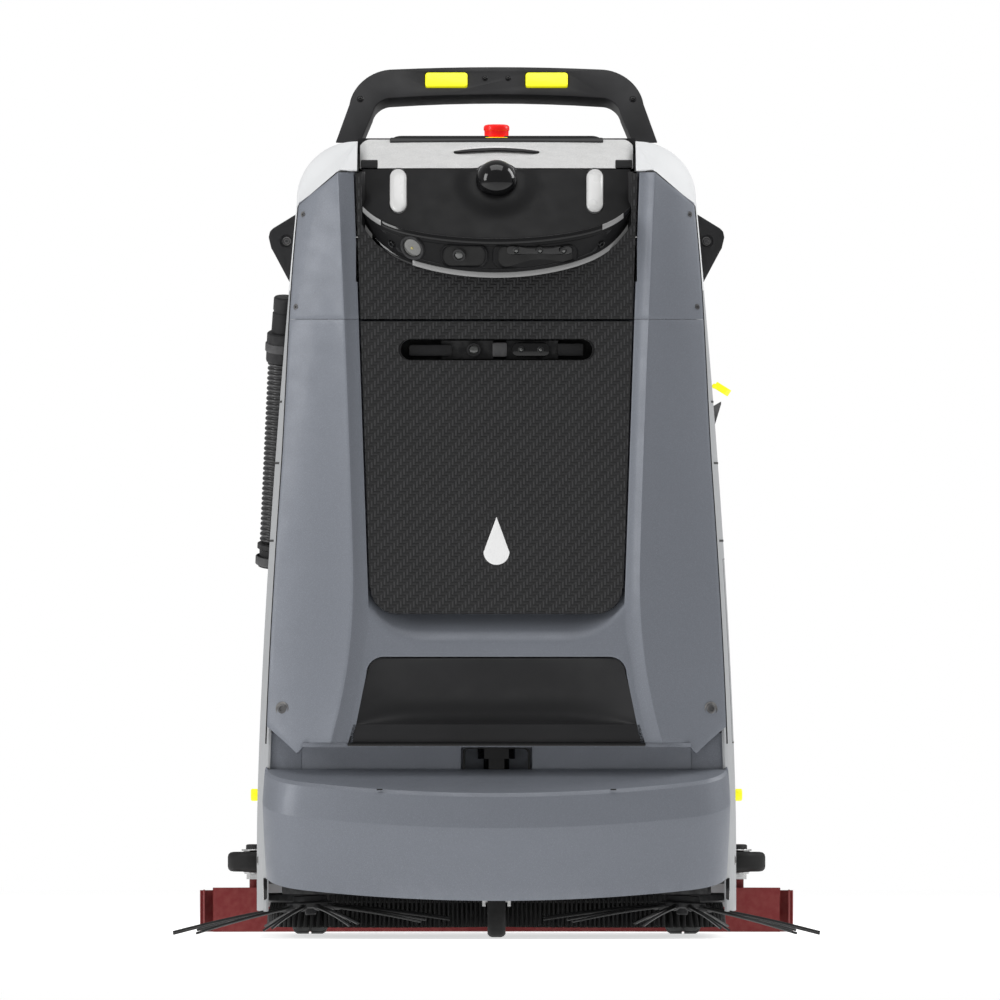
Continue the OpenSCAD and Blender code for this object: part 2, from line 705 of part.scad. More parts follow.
cover_rows = [cover_base_z, 100, taper_z, 260, lip_z, 440, 540, 565, upper_row(650), upper_row(740),
              upper_row(880), cover_seam_z - seam / 2];
function cover_cols(z) =
  let (a = cover_front(z), b = ry(z), h = hose_y(clamp(z, 540, 1100)))
  [a, a + 60, a + 150, a + 250, h - hose_channel_hw - 12, h - hose_channel_hw, h + hose_channel_hw,
   h + hose_channel_hw + 12, b - 150, b - 90, b - 40, b];

function cover_point(y, z, t, channel) = [side_x(y, z) - t - channel * channel_depth(y, z), y, z];

module side_cover(channel)
  skin([for (z = cover_rows) [for (y = cover_cols(z)) cover_point(y, z, 0, channel)]],
       [for (z = cover_rows) [for (y = cover_cols(z)) cover_point(y, z, wall, channel)]]);

module side_cover_left() color("lightgray") mirror([1, 0, 0])
  difference() {
    side_cover(1);
    knob_hole();
  }
module side_cover_right() color("lightgray")
  difference() {
    side_cover(0);
    knob_hole();
  }

// Shoulder: s runs from the side seam up over the rounded corner to 1 at the inner edge,
// and to 1.2 down the wall beside the deck
shoulder_s = [0, 0.12, 0.25, 0.37, 0.5, 0.62, 0.75, 0.87, 1, 1.2];
shoulder_y = [-240, -20, 200, 290];
shoulder_base_z = cover_seam_z + seam / 2;
function deck_drop(y) =
  y < lid_hinge.x ? 26 : y < screen_y0 ? 20 : mix(30, 108, rise(y, screen_y0, screen_y1));
function shoulder_full(s) =
  let (u = rise(s, 0.25, 1), z = mix(shoulder_base_z, shoulder_z, min(s / 0.25, 1)))
  s < 0.25 ? [hw(z), z]
           : [head_hw + (hw(shoulder_z) - head_hw) * cos(90 * u),
              shoulder_z + (deck_z - 5 - shoulder_z) * sin(90 * u)];
function shoulder_front(s) =
  let (zc = shoulder_z - 8, z = mix(shoulder_base_z, zc, min(s / 0.25, 1)), u = rise(s, 0.25, 1),
       v = rise(u, 0, 0.72), w = rise(u, 0.72, 1))
  s < 0.25 ? [edge_x(z), fy(z) + flank_drop + wall + seam, z]
           : [mix(edge_x(zc), head_hw + 3, u),
              mix(fy(zc) + flank_drop, fy(head_top_z) + 2, v) + 150 * w + seam + wall + 1,
              mix(zc, head_top_z - 4, v) + (deck_z - 6 - head_top_z) * w + 2 * v];
function shoulder_point(s, c, t) =
  let (e = min(s, 1), f = shoulder_front(e), p = shoulder_full(e), near = c == 0 ? 1 : c == 1 ? 0.62 : 0,
       y = c == 0 ? f.y : c == 1 ? mix(f.y, shoulder_y[0], 0.5) : c == 6 ? ry(shoulder_z) - 10
           : shoulder_y[c - 2],
       drop = (c == 6 ? 76 : c == 5 ? 26 : 0) * e, tuck = (c == 6 ? 40 : c == 5 ? 12 : 0) * (1 - e),
       a = rise(e, 0.25, 1) * 90, z = mix(p.y, f.z, near) - drop)
  s > 1 ? [head_hw + 1 + t, y, min(z - 10, deck_z - deck_drop(y)) - (c == 6 ? 40 : c == 5 ? 10 : 0)]
        : [max(mix(p.x, f.x, near) - tuck - t * cos(a), head_hw + 1 + (s == 1 ? t : 0)),
           y + (c == 0 ? t * 0.6 * sin(a) : 0), z - t * sin(a)];
// The last column closes the shoulder at the rear, down to the top of the rear cover
function shoulder_rear(s, t) =
  let (p = shoulder_point(s, 6, t), z = s < 0.25 ? min(p.z, rear_top_z + seam) : rear_top_z + seam)
  [p.x, ry(z) - t - seam + (p.z > z ? 0 : 0.4), z];
function shoulder_row(s, t) = [for (c = [0:7]) c == 7 ? shoulder_rear(s, t) : shoulder_point(s, c, t)];

module shoulder_skin()
  skin([for (s = shoulder_s) shoulder_row(s, 0)], [for (s = shoulder_s) shoulder_row(s, wall)]);

module shoulder_left() color("lightgray") mirror([1, 0, 0]) shoulder_skin();
module shoulder_right() color("lightgray") shoulder_skin();

// Rear cover between the rear edges of the side covers
function rear_point(k, z, t) =
  let (w = side_x(ry(z), min(z, shoulder_z)) - 3 - wall)
  [w * k - sign(k) * t * 0.5, ry(z) - t - (abs(k) == 1 ? 1 : 0), z];

module rear_cover() color("dimgray") {
  rows = [cover_base_z + 80, 300, 500, upper_row(700), upper_row(860), cover_seam_z - seam / 2, rear_top_z];
  cols = [-1, -0.75, -0.4, 0, 0.4, 0.75, 1];
  difference() {
    skin([for (z = rows) [for (k = cols) rear_point(k, z, 0)]],
         [for (z = rows) [for (k = cols) rear_point(k, z, wall)]]);
    translate([0, rear_y - 60, suction_z]) rotate([-90, 0, 0]) cylinder(r = suction_r + 6, h = 120);
    // Notch around the squeegee arm
    block([-84, rear_y - 60, cover_base_z], [84, rear_y + 10, arm_pivot_z + 40]);
  }
  // Collar for the suction hose
  translate([0, ry(suction_z) - 8, suction_z]) rotate([-90, 0, 0]) ring(suction_r + 8, suction_r + fit, 20);
}

// Top deck behind the lid: flat for the stop button, slope for the screen
console_hw = head_hw + 1 - fit;
screen_y0 = -118;
screen_y1 = 96;
screen_z1 = deck_z - 74;
console_t = 6;
module console() color("dimgray") {
  difference() {
    along_x(console_hw, [
      [lid_hinge.x + 10, deck_z - 24], [lid_hinge.x + 10, deck_z], [screen_y0 - 24, deck_z],
      [screen_y0 - 20, deck_z - 4], [screen_y1, screen_z1 - 4], [screen_y1 + 20, screen_z1 - 4],
      [ry(shoulder_z) - 16, deck_z - 118], [ry(shoulder_z) - 2, deck_z - 150],
      [ry(shoulder_z) - 2 - wall, deck_z - 154], [ry(shoulder_z) - 16 - wall, deck_z - 118 - console_t],
      [screen_y1, screen_z1 - 4 - console_t], [screen_y0 - 20, deck_z - 24]]);
    translate([0, stop_y, deck_z - 30]) cylinder(r = stop_d / 2 - 8 + run, h = 60);
  }
  // Lugs and the pin of the lid
  for (s = [-1, 1])
    block([s * (lid_barrel / 2 + 7) - 5, lid_hinge.x - 4.5, deck_z - 9.5],
          [s * (lid_barrel / 2 + 7) + 5, lid_hinge.x + 11, deck_z - 2]);
  translate([0, lid_hinge.x, lid_hinge.y]) rotate([0, 90, 0])
    cylinder(r = lid_pin_r, h = lid_barrel + 10, center = true);
}

stop_y = -170;
module stop_button() color("red")
  translate([0, stop_y, deck_z]) {
    translate([0, 0, stop_travel + 2]) cylinder(d = stop_d, h = 16 - stop_travel);
    translate([0, 0, 18]) cylinder(d1 = stop_d, d2 = stop_d - 8, h = 4);
    translate([0, 0, -18]) cylinder(r = stop_d / 2 - 8, h = 26);
  }

module touchscreen() color("black") {
  slope = atan2(screen_z1 - deck_z, screen_y1 - screen_y0 + 20);
  translate([0, screen_y0 - 20, deck_z - 4 + fit]) rotate([slope, 0, 0])
    block([-150, 12, 0], [150, 212, 11]);
}

// ---------- push bar ----------

// Shapes drawn in the leaning plane of the push bar: x across, z up from its root
module in_bar_plane() {
  translate([0, bar_y, deck_z - 5.5]) rotate([-bar_lean, 0, 0]) children();
}

module bar_outline() {
  r_out = 60;
  r_in = 26;
  top = bar_len + 6;
  narrow = 24;
  half = bar_w / 2;
  difference() {
    polygon([
      [-half, 0], [half, 0],
      for (a = [0:15:90]) [half - narrow - r_out + r_out * cos(a) - 8 * sin(a), top - 4 - r_out + r_out * sin(a)],
      [0, top],
      for (a = [90:15:180]) [-half + narrow + r_out + r_out * cos(a) + 8 * sin(a), top - 4 - r_out + r_out * sin(a)]]);
    polygon([
      [-half + bar_leg_w, -1], [half - bar_leg_w, -1],
      for (a = [0:15:90]) [half - narrow - 36 - r_in + r_in * cos(a) - 4 * sin(a),
                           top - bar_thick - 12 - r_in + r_in * sin(a)],
      [0, top - bar_thick - 6],
      for (a = [90:15:180]) [-half + narrow + 36 + r_in + r_in * cos(a) + 4 * sin(a),
                             top - bar_thick - 12 - r_in + r_in * sin(a)]]);
  }
}

trigger_z = bar_len - bar_thick / 2 + 4;
module push_bar() color("black")
  difference() {
    in_bar_plane() difference() {
      along_y(0, bar_depth) bar_outline();
      for (s = [-1, 1])
        block([s * trigger_x - trigger_w / 2 - fit, -1, trigger_z - trigger_h / 2 - fit],
              [s * trigger_x + trigger_w / 2 + fit, trigger_d - trigger_out + trigger_travel + 1,
               trigger_z + trigger_h / 2 + fit]);
    }
    // The roots are cut level, just over the shoulders
    block([-bar_w, -200, deck_z - 100], [bar_w, 400, deck_z - 5 + fit]);
  }

module trigger() color("yellow")
  in_bar_plane() block([-trigger_w / 2, -trigger_out, trigger_z - trigger_h / 2],
                       [trigger_w / 2, trigger_d - trigger_out, trigger_z + trigger_h / 2]);
module trigger_left() translate([-trigger_x, 0, 0]) trigger();
module trigger_right() translate([trigger_x, 0, 0]) trigger();

// ---------- side fittings ----------

module side_sensors() color("black")
  both_sides() {
    inner = side_x(pod_y, pod_z + 34) + fit;
    along_y(pod_y - 40, 80) polygon([
      [inner, pod_z + 34], [hw(pod_z) + 36, pod_z + 8], [hw(pod_z) + 40, pod_z - 2],
      [hw(pod_z) + 35, pod_z - 20], [side_x(pod_y, pod_z - 72) + 1, pod_z - 72]]);
  }

module latch_bracket() color("gray")
  along_y(latch_y - 35, 70) polygon([
    [side_x(latch_y, latch_z - 36) + fit, latch_z - 36], [hw(latch_z) + 13, latch_z - 3],
    [hw(latch_z) + 13, latch_z + 1], [side_x(latch_y, latch_z) + fit + 0.6, latch_z - 6]]);

latch_hinge = [hw(latch_z + 25) + 4.3 + fit, latch_z + 25];
module tank_latch() color("yellow")
  translate([latch_hinge.x, latch_y - 30, latch_hinge.y]) {
    rotate([-90, 0, 0]) cylinder(r = 4, h = 60);
    rotate([0, 32, 0]) block([0, 2, -3], [26, 58, 2]);
  }

module knob_hole()
  translate([base_w / 2 - 40, knob_y, knob_z]) rotate([0, 90, 0]) cylinder(r = 5 + run, h = 80);

module knob() color("yellow")
  translate([side_x(knob_y, knob_z), knob_y, knob_z]) rotate([0, 90, 0]) {
    translate([0, 0, fit]) cylinder(r = knob_r, h = knob_out - fit);
    translate([0, 0, -16]) cylinder(r = 5, h = 16 + fit);
  }
module knob_left() mirror([1, 0, 0]) knob();
module knob_right() knob();

// The hose hangs in its channel and leans back towards its foot
hose_len = 290;
rib_pitch = 8;
module at_hose() {
  translate([-hose_x + 5, hose_top_y, hose_top_z]) rotate([0, hose_splay, 0]) rotate([hose_lean, 0, 0])
    mirror([0, 0, 1]) children();
}

hose_start = 104;
ribs = floor(hose_len / rib_pitch);
hose_foot = hose_start + ribs * rib_pitch + fit;
module drain_hose() color("dimgray")
  at_hose() {
    difference() {
      rotate_extrude() polygon([
        [0, hose_start], for (i = [0:ribs - 1]) each
          [[hose_r, hose_start + i * rib_pitch], [hose_r, hose_start + (i + 0.5) * rib_pitch],
           [hose_r - 2.5, hose_start + (i + 0.6) * rib_pitch], [hose_r - 2.5, hose_start + (i + 0.9) * rib_pitch]],
        [hose_r, hose_start + ribs * rib_pitch], [0, hose_start + ribs * rib_pitch]]);
      translate([0, 0, hose_start - 1]) cylinder(r = hose_r - 5, h = ribs * rib_pitch + 2);
    }
  }

// A tab from the hose to the floor of its channel, at length d along the hose
module hose_tab(d, depth)
  let (z = hose_top_z - d * cos(hose_lean), y = hose_y(z), x = hose_x - 5 + d * sin(hose_splay))
    block([-x, y - 9, z - 9], [-hw(z - 9) + depth - fit, y + 9, z + 9]);

module hose_fittings() color("black") {
  hose_tab(80, hose_channel);
  hose_tab(hose_foot + 28, hose_channel);
  at_hose() {
    // Plugged cuff and its collar at the top
    translate([0, 0, 0]) cylinder(r1 = hose_r - 5, r2 = hose_r - 3, h = 56);
    translate([0, 0, 56]) cylinder(r = hose_r + 3, h = hose_start - 56 - fit);
    // Flange at the foot
    translate([0, 0, hose_foot]) {
      cylinder(r = hose_r + 3, h = 10);
      cylinder(r = hose_r - 1, h = 38);
    }
  }
}

port_out = 24;
coupler_x = -170;
coupler_z = 300;
coupler_r = 13.2;
coupler_len = 25;
charge_x = 190;
charge_z = 250;
charge_w = 120;
charge_h = 70;
suction_z = 410;
// A block that stands upright on the leaning rear cover
module rear_pad(x, z, w, h)
  translate([x, 0, 0]) along_x(w / 2, [
    [ry(z - h / 2) + fit, z - h / 2], [rear_y + port_out, z - h / 2],
    [rear_y + port_out, z + h / 2], [ry(z + h / 2) + fit, z + h / 2]]);

module rear_ports() color("silver") {
  // Charging plate
  rear_pad(charge_x, charge_z, charge_w, charge_h);
  // Water inlet with a hose tail
  rear_pad(coupler_x, coupler_z, 56, 56);
  translate([coupler_x, rear_y + port_out - 1, coupler_z]) rotate([-90, 0, 0])
    cylinder(r = coupler_r, h = coupler_len + 1);
}

// ---------- scrubbing and sweeping ----------

side_motor_z = side_hub_z + 20 + side_hub_r * sin(side_brush_tilt) + 0.4;
module side_brush_motors() color("black")
  for (s = [-1, 1]) translate([s * side_brush_x, side_brush_y, side_motor_z]) {
    cylinder(r = 44, h = 54);
    cylinder(r = 30, h = plate_z - side_motor_z - fit);
  }

module side_brush() color("black")
  translate([side_brush_x, side_brush_y, side_hub_z]) rotate([0, side_brush_tilt, 0]) {
    cylinder(r = side_hub_r + 10, h = 10);
    cylinder(r = side_hub_r, h = 20);
    translate([0, 0, -10]) cylinder(r = 9, h = 10);
    reach = sweep_r / cos(side_brush_tilt);
    fall = (side_hub_z - 14) / (reach - side_hub_r);
    for (i = [0:side_arms - 1]) rotate([0, 0, 360 * i / side_arms])
      translate([side_hub_r, 0, 2.4]) rotate([0, 90 + atan(fall), 0])
        cylinder(r = 3, h = (reach - side_hub_r) / cos(atan(fall)) - 0.6);
  }
module side_brush_right() side_brush();
module side_brush_left() mirror([1, 0, 0]) side_brush();

module disc_brush(s) color("black")
  translate([s * disc_x, disc_y, deck_clear]) {
    ring(disc_r - 6, disc_r - 60, 40);
    translate([0, 0, 40]) cylinder(r = disc_r, h = 12);
    translate([0, 0, 52]) cylinder(r = 40, h = disc_top - deck_clear - 52);
  }
module disc_brush_left() disc_brush(-1);
module disc_brush_right() disc_brush(1);

module brush_deck() color("dimgray")
  difference() {
    union() {
      half = 2 * disc_r + disc_gap / 2 + 3;
      block([-half, disc_y - disc_r - deck_edge, deck_under],
            [half, disc_y + disc_r + deck_edge, deck_under + deck_t]);
    }
    for (s = [-1, 1])
      translate([s * disc_x, disc_y, deck_under - 1]) cylinder(r = 20 + fit, h = deck_t + 2);
  }

module brush_motors() color("gray")
  for (s = [-1, 1]) translate([s * disc_x, disc_y, 0]) {
    translate([0, 0, deck_under + deck_t + fit]) cylinder(r = brush_motor_r, h = brush_motor_h);
    translate([0, 0, disc_top + fit]) cylinder(r = 20, h = deck_under + deck_t + 1 - disc_top);
  }

// ---------- wheels ----------

module drive_wheel() color("black")
  translate([drive_x, drive_y, drive_r]) rotate([0, 90, 0]) translate([0, 0, -drive_w / 2])
    difference() {
      union() {
        ring(drive_r, drive_r - 26, drive_w);
        translate([0, 0, 4]) cylinder(r = drive_r - 25, h = drive_w - 8);
      }
      translate([0, 0, -1]) cylinder(r = 14 + run, h = drive_w + 2);
    }
module drive_wheel_right() drive_wheel();
module drive_wheel_left() mirror([1, 0, 0]) drive_wheel();

axle_r = 6;
fork_gap = 3;
module caster_fork() color("silver")
  difference() {
    inner = caster_wheel_w / 2 + fork_gap;
    union() {
      translate([0, caster_y, plate_z - 8 - fit]) cylinder(r = 36, h = 8);
      translate([0, caster_y, plate_z - 1]) cylinder(r = 12, h = plate_t);
      for (s = [-1, 1])
        block([s * (inner + 2.5) - 2.5, caster_y - 14, caster_r - 12],
              [s * (inner + 2.5) + 2.5, caster_y + caster_trail + 14, plate_z - 5]);
      translate([-inner - 2, caster_y + caster_trail, caster_r]) rotate([0, 90, 0])
        cylinder(r = axle_r, h = 2 * inner + 4);
    }
  }

module caster_wheel() color("black")
  translate([0, caster_y + caster_trail, caster_r]) rotate([0, 90, 0])
    translate([0, 0, -caster_wheel_w / 2]) ring(caster_r, axle_r + run, caster_wheel_w);

// ---------- squeegee ----------

module squeegee_arm() color("silver")
  difference() {
    union() {
      for (s = [-1, 1]) hull() {
        translate([s * 44 - 5, arm_pivot_y, arm_pivot_z]) rotate([0, 90, 0]) cylinder(r = 14, h = 10);
        translate([s * 44 - 5, arm_end_y, arm_end_z]) rotate([0, 90, 0]) cylinder(r = 14, h = 10);
      }
      block([-44, mix(arm_pivot_y, arm_end_y, 0.5) - 8, arm_pivot_z - 22],
            [44, mix(arm_pivot_y, arm_end_y, 0.5) + 8, arm_pivot_z - 10]);
      translate([-72, arm_pivot_y, arm_pivot_z]) rotate([0, 90, 0]) cylinder(r = arm_pin_r, h = 144);
    }
    translate([-60, arm_end_y, arm_end_z]) rotate([0, 90, 0]) cylinder(r = arm_pin_r + run, h = 120);
  }

module squeegee_carrier() color("dimgray")
  difference() {
    union() {
      translate([-36, arm_end_y, arm_end_z]) rotate([0, 90, 0]) cylinder(r = 14, h = 72);
      translate([-52, arm_end_y, arm_end_z]) rotate([0, 90, 0]) cylinder(r = arm_pin_r, h = 104);
      block([-36, arm_end_y, arm_end_z - 12], [36, swing_y, arm_end_z]);
      translate([0, swing_y, arm_end_z - 12]) cylinder(r = 36, h = 12);
    }
    translate([0, swing_y, arm_end_z - 20]) cylinder(r = suction_r + 3, h = 40);
  }

// An arc of the squeegee between two radii, around the centre of its curve
module squeegee_arc(r_out, r_in, z0, z1, half) {
  translate([0, squeegee_back - squeegee_r, z0]) rotate([0, 0, 90 - half])
    rotate_extrude(angle = 2 * half, $fn = 200)
      translate([r_in, 0]) square([r_out - r_in, z1 - z0]);
}

head_z = blade_h;
module squeegee_head() color("brown") {
  front_r = squeegee_r - blade_gap;
  squeegee_arc(squeegee_r, squeegee_r - blade_t, 0, blade_h - 4, squeegee_half);
  squeegee_arc(front_r, front_r - blade_t, 0, blade_h, squeegee_half - 0.4);
  difference() {
    union() {
      squeegee_arc(squeegee_r - blade_t - fit, front_r + fit, 22, blade_h, squeegee_half - 0.8);
      translate([0, swing_y, 22]) cylinder(r = 46, h = head_z + 20 - 22);
      // Cuff for the suction hose, which is also the swing pivot
      translate([0, swing_y, head_z + 20]) cylinder(r = suction_r + 3 - run, h = arm_end_z - head_z - 20 + 6);
      for (s = [-1, 1]) translate([s * roller_x, squeegee_at(roller_x), blade_h - 1])
        cylinder(r = 7, h = roller_z + roller_t + 12 - blade_h);
    }
    translate([0, swing_y, -1]) cylinder(r = suction_r - 2, h = arm_end_z + 40);
  }
}
// Middle line of the squeegee at distance x from the centre
function squeegee_at(x) = squeegee_back - squeegee_r + sqrt(pow(squeegee_r - blade_gap / 2, 2) - x * x);

module wall_roller(s) color("black")
  translate([s * roller_x, squeegee_at(roller_x), roller_z]) ring(roller_r, 7 + run, roller_t);
module wall_roller_left() wall_roller(-1);
module wall_roller_right() wall_roller(1);

suction_foot = arm_end_z + 6 + fit;
suction_path = [for (i = [0:20])
  let (t = i / 20, a = [0, swing_y, suction_foot], b = [0, swing_y, suction_z - 60],
       c = [0, swing_y - 10, suction_z], d = [0, ry(suction_z) - 6, suction_z])
  pow(1 - t, 3) * a + 3 * t * pow(1 - t, 2) * b + 3 * t * t * (1 - t) * c + pow(t, 3) * d];
module suction_hose() color("dimgray") swept_tube(suction_path, suction_r, 12);

chassis_frame();
battery_pack();
solution_tank();
recovery_tank();
control_box();
vacuum_motor();
drive_motors();
sensor_bay();
front_lidar();
camera_modules();
front_shell_lower();
front_shell_upper();
front_panel_lower();
front_panel_upper();
recess_trim();
head_shell();
head_face();
sensor_bar();
light_strips();
lidar_dome();
signal_lamps();
shoulder_left();
shoulder_right();
side_cover_left();
side_cover_right();
rear_cover();
console();
touchscreen();
push_bar();
side_sensors();
latch_bracket();
drain_hose();
hose_fittings();
rear_ports();
side_brush_motors();
filler_cap();
bumper();
top_lid();
stop_button();
trigger_left();
trigger_right();
tank_latch();
knob_left();
knob_right();
brush_deck();
brush_motors();
disc_brush_left();
disc_brush_right();
side_brush_left();
side_brush_right();
drive_wheel_left();
drive_wheel_right();
caster_fork();
caster_wheel();
squeegee_arm();
squeegee_carrier();
squeegee_head();
wall_roller_left();
wall_roller_right();
suction_hose();
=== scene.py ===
import bpy
import bmesh
import json
import math
import random
from mathutils import Matrix, Vector


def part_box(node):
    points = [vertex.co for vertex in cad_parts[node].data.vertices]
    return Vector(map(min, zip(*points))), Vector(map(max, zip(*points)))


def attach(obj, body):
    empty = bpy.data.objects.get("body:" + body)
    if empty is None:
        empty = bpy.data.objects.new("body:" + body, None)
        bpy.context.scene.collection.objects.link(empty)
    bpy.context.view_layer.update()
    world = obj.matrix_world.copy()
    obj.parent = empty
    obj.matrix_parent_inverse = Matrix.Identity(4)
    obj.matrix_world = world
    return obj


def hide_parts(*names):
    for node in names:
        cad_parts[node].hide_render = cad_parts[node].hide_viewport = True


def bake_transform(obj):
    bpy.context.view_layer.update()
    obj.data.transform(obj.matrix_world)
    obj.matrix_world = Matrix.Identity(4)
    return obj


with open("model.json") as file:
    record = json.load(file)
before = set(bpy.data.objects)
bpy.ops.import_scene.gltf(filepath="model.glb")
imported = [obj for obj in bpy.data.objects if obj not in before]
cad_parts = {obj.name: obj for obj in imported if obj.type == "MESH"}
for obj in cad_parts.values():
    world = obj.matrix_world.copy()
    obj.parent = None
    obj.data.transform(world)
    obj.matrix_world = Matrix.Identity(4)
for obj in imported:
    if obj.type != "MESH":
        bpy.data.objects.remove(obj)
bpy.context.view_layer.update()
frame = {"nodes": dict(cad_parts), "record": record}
MM = 0.001
scene = bpy.context.scene
sin, cos, pi, rad = math.sin, math.cos, math.pi, math.radians


def lo(n):
    return [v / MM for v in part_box(n)[0]]


def hi(n):
    return [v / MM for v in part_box(n)[1]]


def middle(n):
    return [(a + b) / 2 for a, b in zip(lo(n), hi(n))]


# ---------- sizes from the frame, in millimetres ----------

BASE = 2 * hi("side_cover_right")[0]
FRONT = -lo("front_shell_lower")[1]
REAR = hi("side_cover_left")[1]
LIP = lo("front_shell_lower")[2]
SPLIT = hi("front_shell_lower")[2] + 0.3
SEAM = hi("side_cover_left")[2] + 0.3
DECK = hi("console")[2]
SHOULDER = DECK - 97
HEAD_TOP = DECK - 48
HEAD = hi("console")[0] - 0.7
PANEL = lo("front_panel_lower")[2]
RECESS = 434
# Shell wall, joint gap, slope of the front, and the height where the sides start to lean in
WALL, GAP, LEAN, TAPER = 4, 0.6, 0.1136, 150
share = ((SEAM + 0.3 - TAPER) / (SHOULDER - TAPER)) ** 1.5
TOP = BASE - (BASE - 2 * hi("shoulder_right")[0]) / share
KNOB = (-150, 219)  # y and z of the knobs on the side covers
WELD = 0.02 * MM    # points closer than this become one


def mix(a, b, t):
    return a + (b - a) * t


def clamp(v, a=0.0, b=1.0):
    return min(max(v, a), b)


def rise(v, a, b):
    return clamp((v - a) / (b - a))


def ease(v, a, b):
    t = rise(v, a, b)
    return t * t * (3 - 2 * t)


def hw(z):
    return BASE / 2 - (BASE - TOP) / 2 * (max(z - TAPER, 0) / (SHOULDER - TAPER)) ** 1.5


def fy(z):
    return -FRONT + LEAN * (z - LIP)


def ry(z):
    return REAR - 80 * rise(z, 60, SHOULDER)


def cover_front(z):
    return fy(max(z, LIP)) + 50 + WALL + GAP


def side_x(y, z):
    a = cover_front(z)
    return hw(z) - 12 * (1 - rise(y, a, a + 250)) ** 2 - 46 * rise(y, ry(z) - 150, ry(z)) ** 2


def edge_x(z):
    return hw(z) - 12 + 8 * ease(z, 700, 1080)


def crest_x(z):
    waist = LIP + 258
    if z > waist:
        return HEAD + 7 + 24 * ((z - waist) / (HEAD_TOP - waist)) ** 1.2
    return HEAD + 7 + 35 * ((waist - z) / 258) ** 2.2


def foot_x(z):
    if z > PANEL:
        return mix(HEAD - 17, HEAD + 7, (z - PANEL) / (HEAD_TOP - PANEL))
    c = crest_x(z) - 22
    return min(c, mix(c, HEAD - 17, rise(z, 440, PANEL)))


def floor_y(z, x=0.0):
    """Floor of the shell: flush below the finger scoop, then sloping back behind the panel."""
    edge = PANEL - 43 + 52 * rise(abs(x), 105, HEAD - 17) ** 2.4
    return fy(z) + 12 + 34 * rise(z, edge, edge + 46) ** 1.15


def shell_top(x):
    return mix(HEAD_TOP - 6, SHOULDER - 8, rise(abs(x), crest_x(HEAD_TOP), edge_x(SHOULDER)))


def recess_x(z):
    return mix(HEAD + 16, 193, rise(z, LIP, RECESS))


RC = recess_x(RECESS - 26) - 26


def recess_hw(z):
    if z < RECESS - 26:
        return recess_x(z)
    return RC + math.sqrt(max(0, 26 ** 2 - min(z - RECESS + 26, 26) ** 2))


def smile_z(x):
    return HEAD_TOP - 113 + 16 * (x / 150) ** 2 + 26 * (abs(x) / HEAD) ** 8


def visor_z(x):
    return HEAD_TOP - 165 + 22 * (x / 140) ** 2 + 44 * (abs(x) / HEAD) ** 8


def head_y(x, z):
    return fy(HEAD_TOP - 88) - 68 + 0.885 * (z - HEAD_TOP + 113) + 46 * (x / HEAD) ** 2


def visor_y(x, t):
    return head_y(x, smile_z(x)) + 22 * t


def bumper_plan(t):
    a, s, w, f = abs(t), (-1 if t < 0 else 1), BASE / 2 - 10, FRONT + 100
    u, x0, y0 = rise(a, 0.7, 1), w - 61, -f + 60
    if a < 0.7:
        return s * x0 * a / 0.7, -f + 60 * (a / 0.7) ** 2
    return (s * ((1 - u) ** 2 * x0 + 2 * u * (1 - u) * w + u * u * w),
        (1 - u) ** 2 * y0 + 2 * u * (1 - u) * (y0 + 25) + u * u * (-FRONT + 48))


def shelf(y):
    return 221 + 0.27 * (y + FRONT + 100)


def hose_y(z):
    return 60 + (DECK - 244 - z) * math.tan(rad(12.7))


# ---------- materials ----------

def shader(nt, kind, inputs, **props):
    """Adds a shader node; each input is a value or another node's socket."""
    x = nt.nodes.new("ShaderNode" + kind)
    for key, v in props.items():
        setattr(x, key, v)
    for key, v in inputs.items():
        if isinstance(v, bpy.types.NodeSocket):
            nt.links.new(v, x.inputs[key])
        else:
            x.inputs[key].default_value = v
    return x


